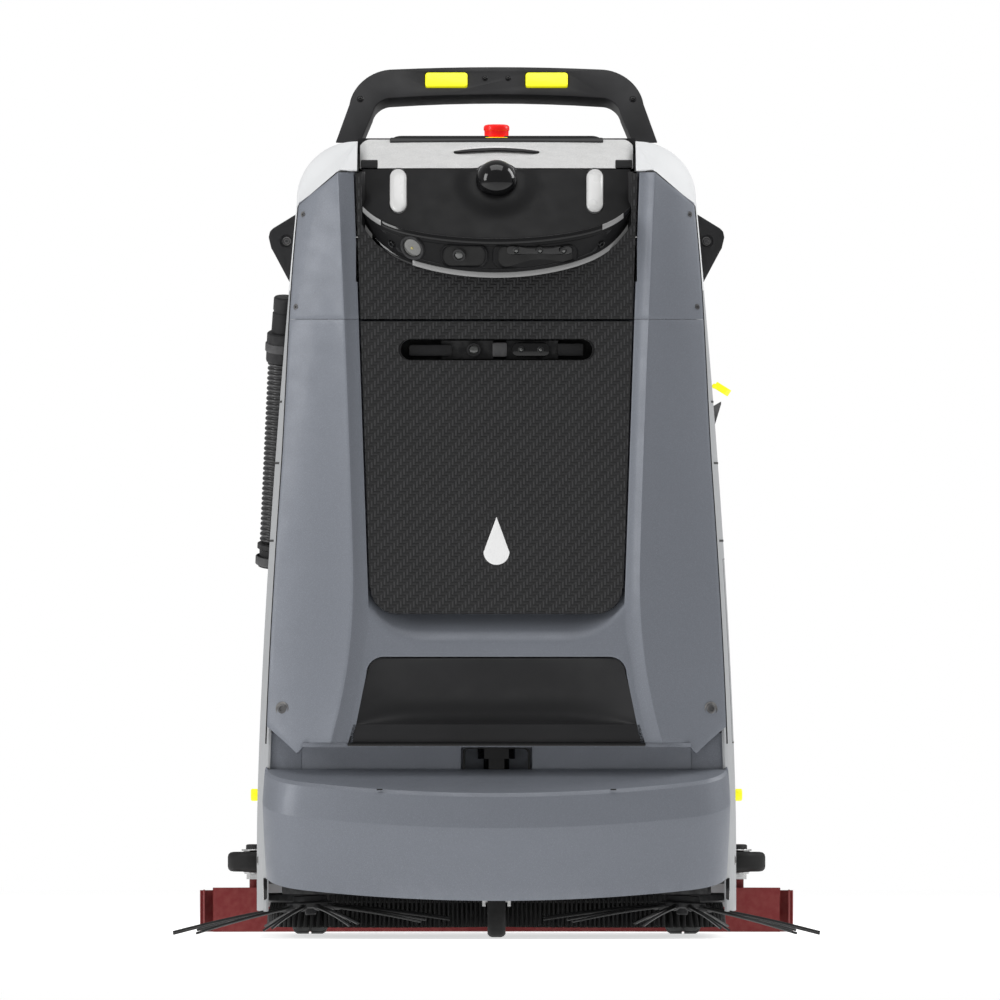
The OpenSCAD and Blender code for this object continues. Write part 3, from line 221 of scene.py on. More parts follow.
def make(name, color, rough, metal=0.0, coat=0.0, grain=700, depth=0.05, tint=0.06, blotch=5, vary=0.06,
        wear=None, wear_amount=0.5, spec=0.5, pattern=None, emit=0.0, flake=0.0):
    """A procedural finish: colour variation, worn edges, uneven roughness and a fine grain (depth in mm)."""
    m = bpy.data.materials.new(name)
    m.use_nodes = True
    nt = m.node_tree
    b = nt.nodes["Principled BSDF"]
    for key, v in (("Metallic", metal), ("Specular IOR Level", spec), ("Coat Weight", coat),
            ("Coat Roughness", 0.12)):
        b.inputs[key].default_value = v
    if emit:
        b.inputs["Emission Color"].default_value = (*color, 1)
        b.inputs["Emission Strength"].default_value = emit
    spot = shader(nt, "TexCoord", {}).outputs["Object"]

    def noise(scale, detail=3):
        return shader(nt, "TexNoise", {"Vector": spot, "Scale": scale, "Detail": detail}).outputs["Fac"]

    def remap(value, a, c, x0=0.3, x1=0.7):
        return shader(nt, "MapRange", {"Value": value, "From Min": x0, "From Max": x1, "To Min": a,
            "To Max": c}).outputs["Result"]

    def blend(fac, a, c):
        a, c = [(*v, 1) if isinstance(v, tuple) else v for v in (a, c)]
        return shader(nt, "Mix", {0: fac, MIX_A: a, MIX_B: c}, data_type="RGBA").outputs[MIX_RESULT]

    dark = tuple(c * (1 - tint) for c in color)
    light = tuple(min(1, c * (1 + tint)) for c in color)
    col = blend(remap(noise(blotch, 4), 0, 1), dark, light)
    height = noise(grain, 2)
    if flake:
        spark = remap(noise(grain * 1.6, 0), 0, 1, 0.56, 0.72)
        col = blend(spark, col, tuple(min(1, c * (1 + flake) + 0.02) for c in color))
    if pattern:
        height, tone = pattern(nt, spot)
        col = blend(tone, tuple(c * 0.4 for c in color), tuple(min(1, c * 2.4) for c in color))
    if wear:
        edge = remap(shader(nt, "NewGeometry", {}).outputs["Pointiness"], 0, wear_amount, 0.53, 0.6)
        patchy = remap(noise(90, 4), 0, 1, 0.35, 0.65)
        col = blend(shader(nt, "Math", {0: edge, 1: patchy}, operation="MULTIPLY").outputs[0], col, wear)
    bump = shader(nt, "Bump", {"Distance": depth * MM, "Strength": 1, "Height": height})
    for key, v in (("Base Color", col), ("Normal", bump.outputs["Normal"]),
                   ("Roughness", remap(noise(38, 5), clamp(rough - vary), clamp(rough + vary)))):
        nt.links.new(v, b.inputs[key])
    return m


def twill(nt, spot):
    """A 2 by 2 twill of 5 mm tows in the plane of x and z: (height, tone)."""
    def op(kind, *values):
        return shader(nt, "Math", dict(enumerate(values)), operation=kind).outputs[0]

    def woven(a, c):
        """a on the tows that lie on top, c on the others."""
        return op("ADD", op("MULTIPLY", a, over), op("MULTIPLY", c, op("SUBTRACT", 1.0, over)))
    s = shader(nt, "SeparateXYZ", {0: spot})
    u, v = op("MULTIPLY", s.outputs["X"], TOWS), op("MULTIPLY", s.outputs["Z"], TOWS)
    iu, iv = op("FLOOR", u), op("FLOOR", v)
    over = op("LESS_THAN", op("FLOORED_MODULO", op("SUBTRACT", iv, iu), 4), 1.5)
    hu, hv = [op("SINE", op("MULTIPLY", op("SUBTRACT", a, b), pi)) for a, b in ((u, iu), (v, iv))]
    h = woven(hu, hv)
    thread = op("SINE", op("MULTIPLY", woven(u, v), 44))
    tone = op("ADD", op("MULTIPLY", op("MULTIPLY", h, h), op("ADD", 0.2, op("MULTIPLY", over, 0.5))),
        op("MULTIPLY", thread, 0.05))
    return h, tone


def brushed(nt, spot):
    """Long fine scratches along x: (height, tone)."""
    stretched = shader(nt, "Mapping", {"Scale": (6, 900, 900), "Vector": spot}).outputs[0]
    t = shader(nt, "TexNoise", {"Scale": 1, "Detail": 3, "Vector": stretched}).outputs["Fac"]
    return t, t


def pebble(nt, spot):
    """Moulded leather-like grain: (height, tone)."""
    return (shader(nt, "TexVoronoi", {"Scale": 620, "Vector": spot}).outputs["Distance"],
        shader(nt, "TexNoise", {"Scale": 14, "Vector": spot}).outputs["Fac"])


MIX_A, MIX_B, MIX_RESULT = 6, 7, 2  # the colour sockets of the Mix node
TOWS = 200  # tows per metre
SCUFF = (0.34, 0.35, 0.37)
PAINT = make("shell_paint", (0.165, 0.178, 0.205), 0.5, metal=0.2, coat=0.08, spec=0.35, grain=1100,
    depth=0.03, tint=0.03, blotch=3, wear=SCUFF, wear_amount=0.06, flake=0.25)
WHITE = make("white_cover", (0.76, 0.77, 0.78), 0.5, grain=900, depth=0.04, tint=0.02, blotch=3,
    wear=(0.5, 0.5, 0.5), wear_amount=0.15)
SIDE = make("side_cover_plastic", (0.36, 0.37, 0.38), 0.5, grain=900, depth=0.05, tint=0.03, blotch=3,
    wear=(0.3, 0.3, 0.3), wear_amount=0.2)
CARBON = make("carbon_panel", (0.024, 0.024, 0.025), 0.38, coat=0.06, depth=0.35, pattern=twill, spec=0.35)
BLACK = make("black_plastic", (0.018, 0.018, 0.019), 0.5, spec=0.22, grain=850, depth=0.06, tint=0.12,
    blotch=9, wear=(0.12, 0.12, 0.12), wear_amount=0.3)
FACE = make("head_plastic", (0.008, 0.008, 0.0085), 0.45, spec=0.12, grain=1200, depth=0.02, tint=0.1,
    blotch=6)
GRIP = make("bar_plastic", (0.017, 0.017, 0.018), 0.5, depth=0.05, pattern=pebble, spec=0.25, tint=0.1)
GLOSS = make("black_gloss", (0.004, 0.004, 0.0045), 0.08, coat=0.25, spec=0.25, grain=200, depth=0.003,
    tint=0.1, vary=0.03)
SILVER = make("silver_lid", (0.68, 0.68, 0.675), 0.4, metal=0.2, grain=650, depth=0.05, tint=0.05, blotch=60,
    flake=0.3, wear=(0.8, 0.8, 0.8), wear_amount=0.4)
LAMP = make("lamp_lens", (0.58, 0.58, 0.575), 0.3, coat=0.3, grain=80, depth=0.01, tint=0.01, emit=0.1)
STRIPLIT = make("light_strip", (0.19, 0.19, 0.19), 0.35, coat=0.15, grain=300, depth=0.02, tint=0.05,
    emit=0.35)
# The stop button is no lamp: the emission here is a painted glow that makes its red read brighter.
RED_GLOW = make("stop_red", (0.86, 0.012, 0.01), 0.35, coat=0.15, spec=0.2, grain=300, depth=0.01, tint=0.06,
    blotch=30, emit=0.35)
# The yellow knobs, trigger pads, latch lever and stop collar are no lamps: this emission is a painted glow.
YELLOW_GLOW = make("signal_yellow", (0.98, 0.93, 0.012), 0.42, coat=0.15, grain=900, depth=0.02, tint=0.03,
    blotch=30, emit=0.45)
GLASS = make("screen_glass", (0.012, 0.013, 0.016), 0.06, coat=1.0, grain=60, depth=0.002, tint=0.2,
    vary=0.02)
TANK = make("tank_plastic", (0.70, 0.70, 0.67), 0.55, grain=120, depth=0.15, tint=0.05, blotch=8)
STEEL = make("frame_steel", (0.05, 0.05, 0.052), 0.5, grain=500, depth=0.08, tint=0.12, blotch=12,
    wear=(0.35, 0.34, 0.33), wear_amount=0.5)
ZINC = make("zinc_steel", (0.55, 0.55, 0.54), 0.32, metal=1.0, depth=0.02, tint=0.1, pattern=brushed)
ALU = make("motor_alu", (0.44, 0.44, 0.45), 0.45, metal=0.9, grain=260, depth=0.1, tint=0.1, blotch=20)
HOSE = make("hose_plastic", (0.02, 0.02, 0.021), 0.38, coat=0.1, grain=500, depth=0.06, tint=0.15, blotch=25,
    wear=(0.14, 0.14, 0.14), wear_amount=0.5)
RUBBER = make("squeegee_rubber", (0.19, 0.026, 0.027), 0.5, spec=0.25, grain=260, depth=0.08, tint=0.08,
    blotch=10, wear=(0.25, 0.06, 0.055), wear_amount=0.5)
TYRE = make("wheel_rubber", (0.016, 0.016, 0.016), 0.65, spec=0.2, grain=500, depth=0.1, tint=0.2, blotch=30,
    wear=(0.09, 0.09, 0.09), wear_amount=0.6)
NYLON = make("bristle", (0.014, 0.014, 0.014), 0.4, spec=0.25, grain=900, depth=0.03, tint=0.2, blotch=120)
BLUE = make("cap_blue", (0.03, 0.13, 0.45), 0.4, grain=600, depth=0.04, tint=0.08, blotch=30)
MARK = make("emblem_white", (0.86, 0.86, 0.86), 0.35, grain=900, depth=0.01, tint=0.02)
BRACKET = make("bracket_grey", (0.06, 0.06, 0.062), 0.5, grain=700, depth=0.06, tint=0.1,
    wear=(0.2, 0.2, 0.2))
DARK = make("joint_shadow", (0.006, 0.006, 0.006), 0.8, grain=900, depth=0.02, tint=0.1)
LENS = make("lens_glass", (0.05, 0.052, 0.05), 0.1, coat=1.0, grain=60, depth=0.002, tint=0.3, blotch=60)

for node, m in {
        "chassis_frame": STEEL, "battery_pack": BLACK, "solution_tank": TANK, "recovery_tank": TANK,
        "control_box": ALU, "vacuum_motor": ALU, "drive_motors": ALU, "sensor_bay": PAINT,
        "front_lidar": GLOSS, "camera_modules": BLACK, "front_panel_lower": CARBON,
        "front_panel_upper": CARBON, "head_shell": BLACK, "lidar_dome": GLOSS, "console": GRIP,
        "touchscreen": GLASS, "latch_bracket": BRACKET, "rear_ports": BLACK, "side_brush_motors": BLACK,
        "filler_cap": BLUE, "brush_deck": STEEL, "brush_motors": ALU, "caster_fork": ZINC,
        "squeegee_arm": ZINC, "squeegee_carrier": STEEL, "squeegee_head": RUBBER}.items():
    o = frame["nodes"][node]
    o.data.materials.clear()
    o.data.materials.append(m)


# ---------- mesh helpers, in millimetres ----------

def solid(name, mesh, weld=0):
    """A linked object from points and faces, with its faces turned outwards."""
    me = bpy.data.meshes.new(name)
    me.from_pydata([(x * MM, y * MM, z * MM) for x, y, z in mesh[0]], [], mesh[1])
    bm = bmesh.new()
    bm.from_mesh(me)
    if weld:
        bmesh.ops.remove_doubles(bm, verts=bm.verts, dist=weld)
        bmesh.ops.dissolve_degenerate(bm, edges=bm.edges, dist=weld / 4)
    bmesh.ops.recalc_face_normals(bm, faces=bm.faces)
    bm.to_mesh(me)
    bm.free()
    ob = bpy.data.objects.new(name, me)
    scene.collection.objects.link(ob)
    return ob


def piece(name, mesh, mat, body="root", rep=(), bevel=0, seg=2, sharp=32, cuts=()):
    """Makes one piece from points and faces, cuts it with closed cutters, rounds its edges and seats it."""
    ob = solid(name, mesh, WELD)
    cutters = [solid("%s_cutter%d" % (name, i), c) for i, c in enumerate(cuts)]
    for i, co in enumerate(cutters):
        mod = ob.modifiers.new("cut%d" % i, "BOOLEAN")
        mod.operation = "DIFFERENCE"
        mod.solver = "EXACT"
        mod.object = co
    if bevel:
        mod = ob.modifiers.new("round", "BEVEL")
        mod.width = bevel * MM
        mod.segments = seg
        mod.limit_method = "ANGLE"
        mod.angle_limit = rad(sharp)
        mod.use_clamp_overlap = True
        mod.miter_outer = "MITER_ARC"
    if ob.modifiers:
        dg = bpy.context.evaluated_depsgraph_get()
        new = bpy.data.meshes.new_from_object(ob.evaluated_get(dg))
        ob.modifiers.clear()
        ob.data = new
        new.name = name
    for co in cutters:
        bpy.data.objects.remove(co)
    me = ob.data
    me.materials.clear()
    me.materials.append(mat)
    me.polygons.foreach_set("material_index", [0] * len(me.polygons))
    me.shade_smooth()
    me.set_sharp_from_angle(angle=rad(sharp + 4))
    if body:
        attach(ob, body)
    if rep:
        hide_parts(*rep)
    return ob


def skin(outer, inner):
    """A closed slab between two grids of points: (points, faces)."""
    m, n = len(outer), len(outer[0])
    k = m * n
    v = [p for r in outer for p in r] + [p for r in inner for p in r]
    f = []
    for i in range(m - 1):
        for j in range(n - 1):
            a, b, c, d = i * n + j, i * n + j + 1, (i + 1) * n + j + 1, (i + 1) * n + j
            f += [(a, b, c, d), (a + k, d + k, c + k, b + k)]
    for j in range(n - 1):
        a = (m - 1) * n + j
        f += [(j, j + k, j + k + 1, j + 1), (a, a + 1, a + k + 1, a + k)]
    for i in range(m - 1):
        a, b = i * n, (i + 1) * n
        f += [(a, b, b + k, a + k), (a + n - 1, a + n - 1 + k, b + n - 1 + k, b + n - 1)]
    return v, f


def slab(point, us, vs, t):
    """A closed slab from point(u, v, depth) at depths 0 and t."""
    return skin(*[[[point(u, v, d) for u in us] for v in vs] for d in (0, t)])


def flip(mesh):
    """The same mesh on the other side of the object."""
    return [(-x, y, z) for x, y, z in mesh[0]], mesh[1]


def at(x, y, z):
    return Matrix.Translation((x, y, z))


def turned(degrees, axis):
    return Matrix.Rotation(rad(degrees), 4, axis)


def prism(outline, place, d0, d1):
    """A closed prism of a 2-D outline; place(a, b, d) gives the point at depth d."""
    n = len(outline)
    v = [place(a, b, d0) for a, b in outline] + [place(a, b, d1) for a, b in outline]
    f = [tuple(range(n)), tuple(range(2 * n - 1, n - 1, -1))]
    f += [(i, i + n, (i + 1) % n + n, (i + 1) % n) for i in range(n)]
    return v, f


def rings_to_faces(rows, n):
    """Faces between neighbouring rings of n points; a ring may shrink to one point."""
    f = []
    for a, b in zip(rows, rows[1:]):
        for i in range(n):
            j = (i + 1) % n
            if len(a) == 1 and len(b) == 1:
                continue
            if len(a) == 1:
                f.append((a[0], b[i], b[j]))
            elif len(b) == 1:
                f.append((a[i], a[j], b[0]))
            else:
                f.append((a[i], a[j], b[j], b[i]))
    return f


def hoop(profile, mat, n=48, mod=None):
    """A turned ring, whose profile closes on itself."""
    return lathe(profile + profile[:1], mat, n, mod)


def lathe(profile, mat, n=48, mod=None):
    """A turned solid: profile of (radius, height), placed by a 4x4 matrix in millimetres."""
    v, f, rows = [], [], []
    for r, h in profile:
        if r < 1e-6:
            rows.append([len(v)])
            v.append(tuple(mat @ Vector((0, 0, h))))
            continue
        rows.append(list(range(len(v), len(v) + n)))
        for i in range(n):
            a = 2 * pi * i / n
            q = r * (mod(i, h) if mod else 1)
            v.append(tuple(mat @ Vector((q * cos(a), q * sin(a), h))))
    f += rings_to_faces(rows, n)
    if len(rows[0]) > 1 and len(rows[-1]) > 1 and profile[0] != profile[-1]:
        f += [tuple(rows[0]), tuple(reversed(rows[-1]))]
    return v, f


def join(*parts):
    v, f = [], []
    for pv, pf in parts:
        k = len(v)
        v += list(pv)
        f += [tuple(i + k for i in q) for q in pf]
    return v, f


def aim(x, y, z, direction=(0, 0, 1), spin=0):
    """A frame at a point whose Z axis points along a direction."""
    q = Vector(direction).to_track_quat("Z", "Y")
    return at(x, y, z) @ q.to_matrix().to_4x4() @ turned(spin, "Z")


def tube(path, radius, n=16):
    """A round tube along a path; radius(i, t) may vary."""
    pts = [Vector(p) for p in path]
    v, f = [], []
    t0 = (pts[1] - pts[0]).normalized()
    side = t0.orthogonal().normalized()
    for i, p in enumerate(pts):
        t = (pts[min(i + 1, len(pts) - 1)] - pts[max(i - 1, 0)]).normalized()
        side = (side - t * side.dot(t)).normalized()
        up = t.cross(side)
        r = radius(i / (len(pts) - 1)) if callable(radius) else radius
        for j in range(n):
            a = 2 * pi * j / n
            v.append(tuple(p + side * (r * cos(a)) + up * (r * sin(a))))
    m = len(pts)
    for i in range(m - 1):
        for j in range(n):
            f.append((i * n + j, i * n + (j + 1) % n, (i + 1) * n + (j + 1) % n, (i + 1) * n + j))
    f += [tuple(range(n - 1, -1, -1)), tuple((m - 1) * n + j for j in range(n))]
    return v, f


def badge(surface, outline, rings, out=(0, -1, 0), centre=None):
    """A plate that follows a surface y(x, z): rings of (scale, height) from the middle outwards."""
    cx = sum(p[0] for p in outline) / len(outline) if centre is None else centre[0]
    cz = sum(p[1] for p in outline) / len(outline) if centre is None else centre[1]
    o = Vector(out).normalized()
    v, f, rows = [], [], []
    for s, h in rings:
        row = []
        for x, z in ([(cx, cz)] if s == 0 else outline):
            px, pz = cx + (x - cx) * s, cz + (z - cz) * s
            row.append(len(v))
            v.append(tuple(Vector((px, surface(px, pz), pz)) + o * h))
        rows.append(row)
    n = len(outline)
    f += rings_to_faces(rows, n)
    for r in (rows[0], rows[-1]):
        if len(r) > 1 and rings[0] != rings[-1]:
            f.append(tuple(r))
    return v, f


def rounded(cx, cz, w, h, r, n=8):
    """Outline of a rounded rectangle."""
    p = []
    for sx, sz, a0 in ((1, 1, 0), (-1, 1, 90), (-1, -1, 180), (1, -1, 270)):
        for i in range(n + 1):
            a = rad(a0 + 90 * i / n)
            p.append((cx + sx * (w / 2 - r) + r * cos(a), cz + sz * (h / 2 - r) + r * sin(a)))
    return p


def steps(a, b, n):
    return [mix(a, b, i / n) for i in range(n + 1)]


def both(fn):
    """Runs a function for the left side and the right side as soon as it is defined."""
    for s, tag in ((-1, "left"), (1, "right")):
        fn(s, tag)


# ---------- front shell ----------

def shell_col(c, z):
    pts = [(edge_x(z), fy(z) + 50), (crest_x(z), fy(z)), (foot_x(z), fy(z) + 12),
        (foot_x(z) - 1.2, floor_y(z, foot_x(z))), (0, floor_y(z))]
    i = min(int(c), 3)
    u = c - i
    x, y = mix(pts[i][0], pts[i + 1][0], u), mix(pts[i][1], pts[i + 1][1], u)
    if i == 0:
        y -= 5 * sin(pi * u) * (1 - u)
    if i == 1:
        y += 1.6 * sin(pi * u)
    if i == 3:
        y = floor_y(z, x)
    return x, y


COLS = steps(0, 1, 22) + steps(1, 2, 6)[1:] + [2.5] + steps(3, 4, 34)
SHELL_ROWS = steps(0, 0.225, 14) + steps(0.225, 0.36, 22)[1:] + steps(0.36, 1, 42)[1:]
SIGNED = [(-1, c) for c in COLS] + [(1, c) for c in reversed(COLS[:-1])]


def foot_of_shell(x):
    x = abs(x)
    if x > 304:
        return 284 + (x - 304) * 0.83
    return mix(LIP, 284, rise(x, 295, 304))


def shell_grid(z0, z1, rows, t):
    """Rows of the shell between two edges, which are functions of x."""
    out = []
    for v in rows:
        row = []
        for s, c in SIGNED:
            x0 = shell_col(c, LIP)[0] if z0 is foot_of_shell else 0
            a = foot_of_shell(x0) if z0 is foot_of_shell else z0
            b = shell_top(shell_col(c, HEAD_TOP)[0]) if z1 is shell_top else z1
            z = mix(a, b, v)
            x, y = shell_col(c, z)
            row.append((s * max(x - (t * 0.6 if c < 0.9 else 0), 0), y + t, z))
        out.append(row)
    return out


RECESS_LINE = [(-recess_x(LIP) - 0.3, LIP - 40), (recess_x(LIP) + 0.3, LIP - 40)]
RECESS_LINE += [(RC + 26.3 * cos(rad(a)), RECESS - 26 + 26.3 * sin(rad(a))) for a in range(0, 91, 6)]
RECESS_LINE += [(-RC + 26.3 * cos(rad(a)), RECESS - 26 + 26.3 * sin(rad(a))) for a in range(90, 181, 6)]
SLOT_Z, SLOT_W, SLOT_H = 908, 296, 32


def through(a, b, d):
    return a, d, b


piece("front_shell_lower_skin", skin(*[shell_grid(foot_of_shell, SPLIT - 0.3, SHELL_ROWS, t)
    for t in (0, WALL)]), PAINT, rep=["front_shell_lower"], bevel=0.9,
    cuts=[prism(RECESS_LINE, through, -FRONT - 60, -FRONT + 160),
    prism(rounded(0, SLOT_Z, SLOT_W + 12, SLOT_H + 12, 21.9, 12), through, -FRONT - 60, -FRONT + 200)])
HOLE = [(-HEAD - 3, HEAD_TOP - 175), (HEAD + 3, HEAD_TOP - 175), (HEAD + 3, DECK), (-HEAD - 3, DECK)]
piece("front_shell_upper_skin", skin(*[shell_grid(SPLIT + 0.3, shell_top, steps(0, 1, 26), t)
    for t in (0, WALL)]), PAINT, rep=["front_shell_upper"], bevel=0.9,
    cuts=[prism(HOLE, through, -FRONT - 60, 0)])


def front_plate(x, z):
    return fy(z) + 12


def trim_point(k, z, t):
    u = rise(z, LIP + 28, RECESS)
    bowl = 2 + 34 * sin(pi * u ** 0.6) * (1 - k ** 4) if z > LIP + 28 else 0
    return k * (recess_hw(z) - 1.2), fy(z) + 12 + bowl + t, z


rows = [LIP, LIP + 10, LIP + 27.9, LIP + 28.1] + steps(LIP + 31, RECESS - 2, 30)
ks = [sin(pi / 2 * k) for k in steps(-1, 1, 48)]
piece("recess_bowl", slab(trim_point, ks, rows, WALL), BLACK, rep=["recess_trim"], bevel=0.8)
piece("lip_line", prism(rounded(0, LIP - 3, 460, 5, 2, 3), through, fy(LIP) + 3, fy(LIP) + 12), GLOSS,
    bevel=0.5)

# Rounded edge strip around the camera slot
ring = rounded(0, SLOT_Z, SLOT_W + 0.6, SLOT_H + 0.6, SLOT_H / 2 + 0.2, 12)
piece("slot_rim", badge(front_plate, ring, [(1, 0.2), (1.012, 0.5), (1.02, 0.3), (1.02, -0.4), (0.995, -9),
    (1, 0.2)]), GLOSS, sharp=50)
piece("slot_lining", badge(front_plate, ring, [(1.001, -9.2), (1.03, -9.2), (1.03, -26), (1.001, -26),
    (1.001, -9.2)]), BLACK, sharp=50)


def lens_stack(name, x, z, y, r, d=(0, -1, 0)):
    """A small round camera: barrel, bevelled rim and a domed lens."""
    m = aim(x, y, z, d)
    piece(name + "_barrel", lathe([(0, 0), (r, 0), (r, 5), (r - 1, 6), (r * 0.72, 6), (r * 0.66, 4.4),
        (0, 4.4)], m, 40), BLACK, sharp=28)
    piece(name + "_lens", lathe([(0, 4.45), (r * 0.64, 4.45), (r * 0.55, 5.2), (r * 0.3, 6), (0, 6.2)], m,
        40), LENS, sharp=60)


base = fy(SLOT_Z) + 38
for name, outline, front, back, mat, bevel in (
        ("slot_block_left", rounded(-102, SLOT_Z - 1, 66, 17, 3), 9, 16, BLACK, 1),
        ("slot_block_middle", rounded(5, SLOT_Z, 22, 22, 3), 13, 14, STEEL, 1.2),
        ("slot_depth_camera", rounded(53, SLOT_Z, 58, 21, 9), 14, 4, GLOSS, 1.5),
        ("slot_block_right", rounded(114, SLOT_Z, 40, 19, 2), 6, 12, BLACK, 1)):
    piece(name, prism(outline, through, base - front, base + back), mat, bevel=bevel)
lens_stack("slot_camera", -35, SLOT_Z, base - 4, 11)
lens_stack("slot_depth_eye_a", 38, SLOT_Z, base - 16, 5)
lens_stack("slot_depth_eye_b", 68, SLOT_Z, base - 16, 5)

# A generic water-drop mark
drop = []
for i in range(48):
    a = 2 * pi * i / 48
    x, z = 20 * cos(a), 20 * sin(a)
    if sin(a) > 0:
        x, z = x * (1 - sin(a)) ** 0.55, 54 * sin(a) ** 1.3
    drop.append((x, 596 + z))
piece("emblem_drop", badge(front_plate, drop, [(0, 0.5), (0.6, 0.5), (0.96, 0.5), (1, 0.35), (1, -0.5)],
    centre=(0, 600)), MARK, sharp=50)


def screw(name, x, y, z, d, r, mat=STEEL):
    """A pan-head screw with a round socket in a shallow washer seat."""
    m = aim(x, y, z, d)
    head = lathe([(0, -1.5), (r, -1.5), (r, 0.5), (r * 0.85, 1.3), (r * 0.55, 1.5), (r * 0.5, 1.45),
        (r * 0.46, 0.2), (0, 0.2)], m, 18)
    seat = hoop([(r * 1.05, -0.6), (r * 1.45, 0.1), (r * 1.5, -0.4), (r * 1.4, -1.4), (r * 1.05, -1.4)], m,
        24)
    piece(name, join(head, seat), mat, sharp=30)


def shell_front(x, z):
    """Front of the shell's flank or chamfer at |x|."""
    a = abs(x)
    lo_c, hi_c = 0.0, 2.0
    for _ in range(24):
        c = (lo_c + hi_c) / 2
        if shell_col(c, z)[0] > a:
            lo_c = c
        else:
            hi_c = c
    return shell_col(c, z)[1]


@both
def flank_screws(s, tag):
    for i, (x, z, r) in enumerate(((310, 1117, 3.2), (310, 974, 3.2), (331, 354, 7.5))):
        x = min(x, edge_x(z) - 9)
        n = Vector((s * 0.45, -0.9, 0.05))
        screw("flank_screw_%s_%d" % (tag, i), s * x, shell_front(x, z) - 0.4, z, n, r)


@both
def flank_seam(s, tag):
    side = [(edge_x(z) + 0.5, fy(z) + 51.5, z) for z in steps(300, shell_top(edge_x(SHOULDER)) - 2, 50)]
    top = [(x, shell_front(x, shell_top(x) - 1) + 1.6, shell_top(x) + 0.6)
        for x in steps(edge_x(SHOULDER), crest_x(HEAD_TOP) - 14, 30)]
    piece("flank_seam_" + tag, tube([(s * x, y, z) for x, y, z in side + top], 1.1, 8), DARK)


# ---------- bumper ----------

TB = steps(-1, 1, 140)


def bumper_pt(row, t, inset):
    """A point of the bumper's skin: rows run from the rear of the shelf over the nose to the lower edge."""
    x, y = bumper_plan(t)
    w = BASE / 2 - 10
    k = 1 - inset / w
    back = -FRONT + 46
    low, belly = 59 + 0.26 * (y + FRONT + 100), shelf(y) - 50
    if row == 0:
        return x * 300 / w * k, back, shelf(back) - inset
    if row == 1:
        return x * 0.965 * k, min(y + 40 + inset, back), shelf(min(y + 40, back)) - inset
    edge = shelf(y + 14)
    scale, depth, past, z = ((0.985, 19, 0, edge - inset), (0.99, 14, 1, edge - 6 - inset * 0.4),
        (0.995, 7, 2, mix(edge - 6, belly, 0.5)), (1, 0, 2, belly), (0.995, 2.4, 2, mix(belly, low, 0.4)),
        (0.985, 6, 2, low))[row - 2]
    return x * scale * k, min(y + depth + inset, back + past), z


def bumper_rows(inset):
    out = []
    for r in range(8):
        a = [bumper_pt(r, t, inset) for t in TB]
        out.append(a)
        if r in (3, 4, 5, 6):
            b = [bumper_pt(r + 1, t, inset) for t in TB]
            for u in (0.33, 0.67):
                out.append([tuple(mix(p, q, u) for p, q in zip(m, n)) for m, n in zip(a, b)])
    return out


piece("bumper_skin", skin(bumper_rows(0), bumper_rows(5)), PAINT, "bumper", rep=["bumper"], bevel=1.6, seg=3,
    sharp=11)


@both
def bumper_bits(s, tag):
    piece("bumper_bush_" + tag, hoop([(6.4, 0), (11, 0), (12, 1.5), (12, 100), (10, 102), (6.4, 102)],
        aim(s * 150, -FRONT + 26, 154, (0, -1, 0)), 32), BLACK, "bumper")
    y = -585
    piece("shelf_slot_" + tag, prism(rounded(s * 180, y, 9, 3, 1.4, 4), lambda a, b, d: (a, b, shelf(b) + d),
        -1, 0.35), DARK, "bumper")


piece("notch_lining", badge(lambda x, z: -FRONT + 54, rounded(0, 268, 104, 52, 8),
    [(1, 0), (0.97, 0.6), (0.93, 0.4), (0.93, -24), (0.97, -24), (1, 0)]), DARK, sharp=40)


both(lambda s, tag: piece("bay_end_" + tag, prism(rounded(s * 326, 268, 52, 98, 4, 4), through, -FRONT + 60,
    -FRONT + 64), PAINT, bevel=0.8))


# ---------- head ----------

HC = [(HEAD - 7) * (1 if k > 0 else -1) * (1 - (1 - abs(k)) ** 1.6) for k in steps(-1, 1, 110)]
DOME_Z = HEAD_TOP - 19
NORMAL = Vector((0, -0.749, 0.663))


def mound(x, z):
    d = math.hypot(x * 0.82, z - DOME_Z + 5)
    return 8 * (1 - ease(d, 30, 58))


def face_pt(x, v, t):
    z = mix(smile_z(x) + 3, HEAD_TOP - 1, v)
    m = mound(x, z) if t == 0 else 0
    m *= 1 - rise(z, HEAD_TOP - 8, HEAD_TOP - 1) * 0.6
    p = Vector((x, head_y(x, z) + t, z)) + NORMAL * m
    return tuple(p)


piece("head_face_skin", slab(face_pt, HC, steps(0, 1, 26), 10), FACE, rep=["head_face"], bevel=1.2)


def visor_pt(x, v, t):
    y = visor_y(x, v) + t - (2.2 * sin(pi * v) if t == 0 else 0)
    return x, y, mix(smile_z(x) - 3, visor_z(x) + 3, v)


def visor_at(x, z):
    v = clamp((smile_z(x) - 3 - z) / (smile_z(x) - visor_z(x) - 6))
    return visor_pt(x, v, 0)[1]


piece("sensor_bar_skin", slab(visor_pt, HC, steps(0, 1, 10), 14), FACE, rep=["sensor_bar"], bevel=1)


def strip(name, low, x0, x1, lit, out, rep=()):
    """A light strip, or a dark stretch of one, along the bar's upper or lower edge. Along the upper edge the long
    dark stretch is also painted shade for the gap between the face and the bar.
    """
    xs = [x0] + [x for x in HC if x0 + 1 < x < x1 - 1] + [x1]

    def pt(x, dz, t):
        y = visor_y(x, 1) if low else visor_y(x, 0)
        y += t or -out * (1 - abs(dz / 4.6) ** 4) - (0 if low else 2.2)
        return x, y, (visor_z(x) if low else smile_z(x)) + dz
    piece(name, slab(pt, xs, [-4.2, -3.2, 0, 3.2, 4.2], 9), STRIPLIT if lit else GLOSS, rep=rep, bevel=0.3)


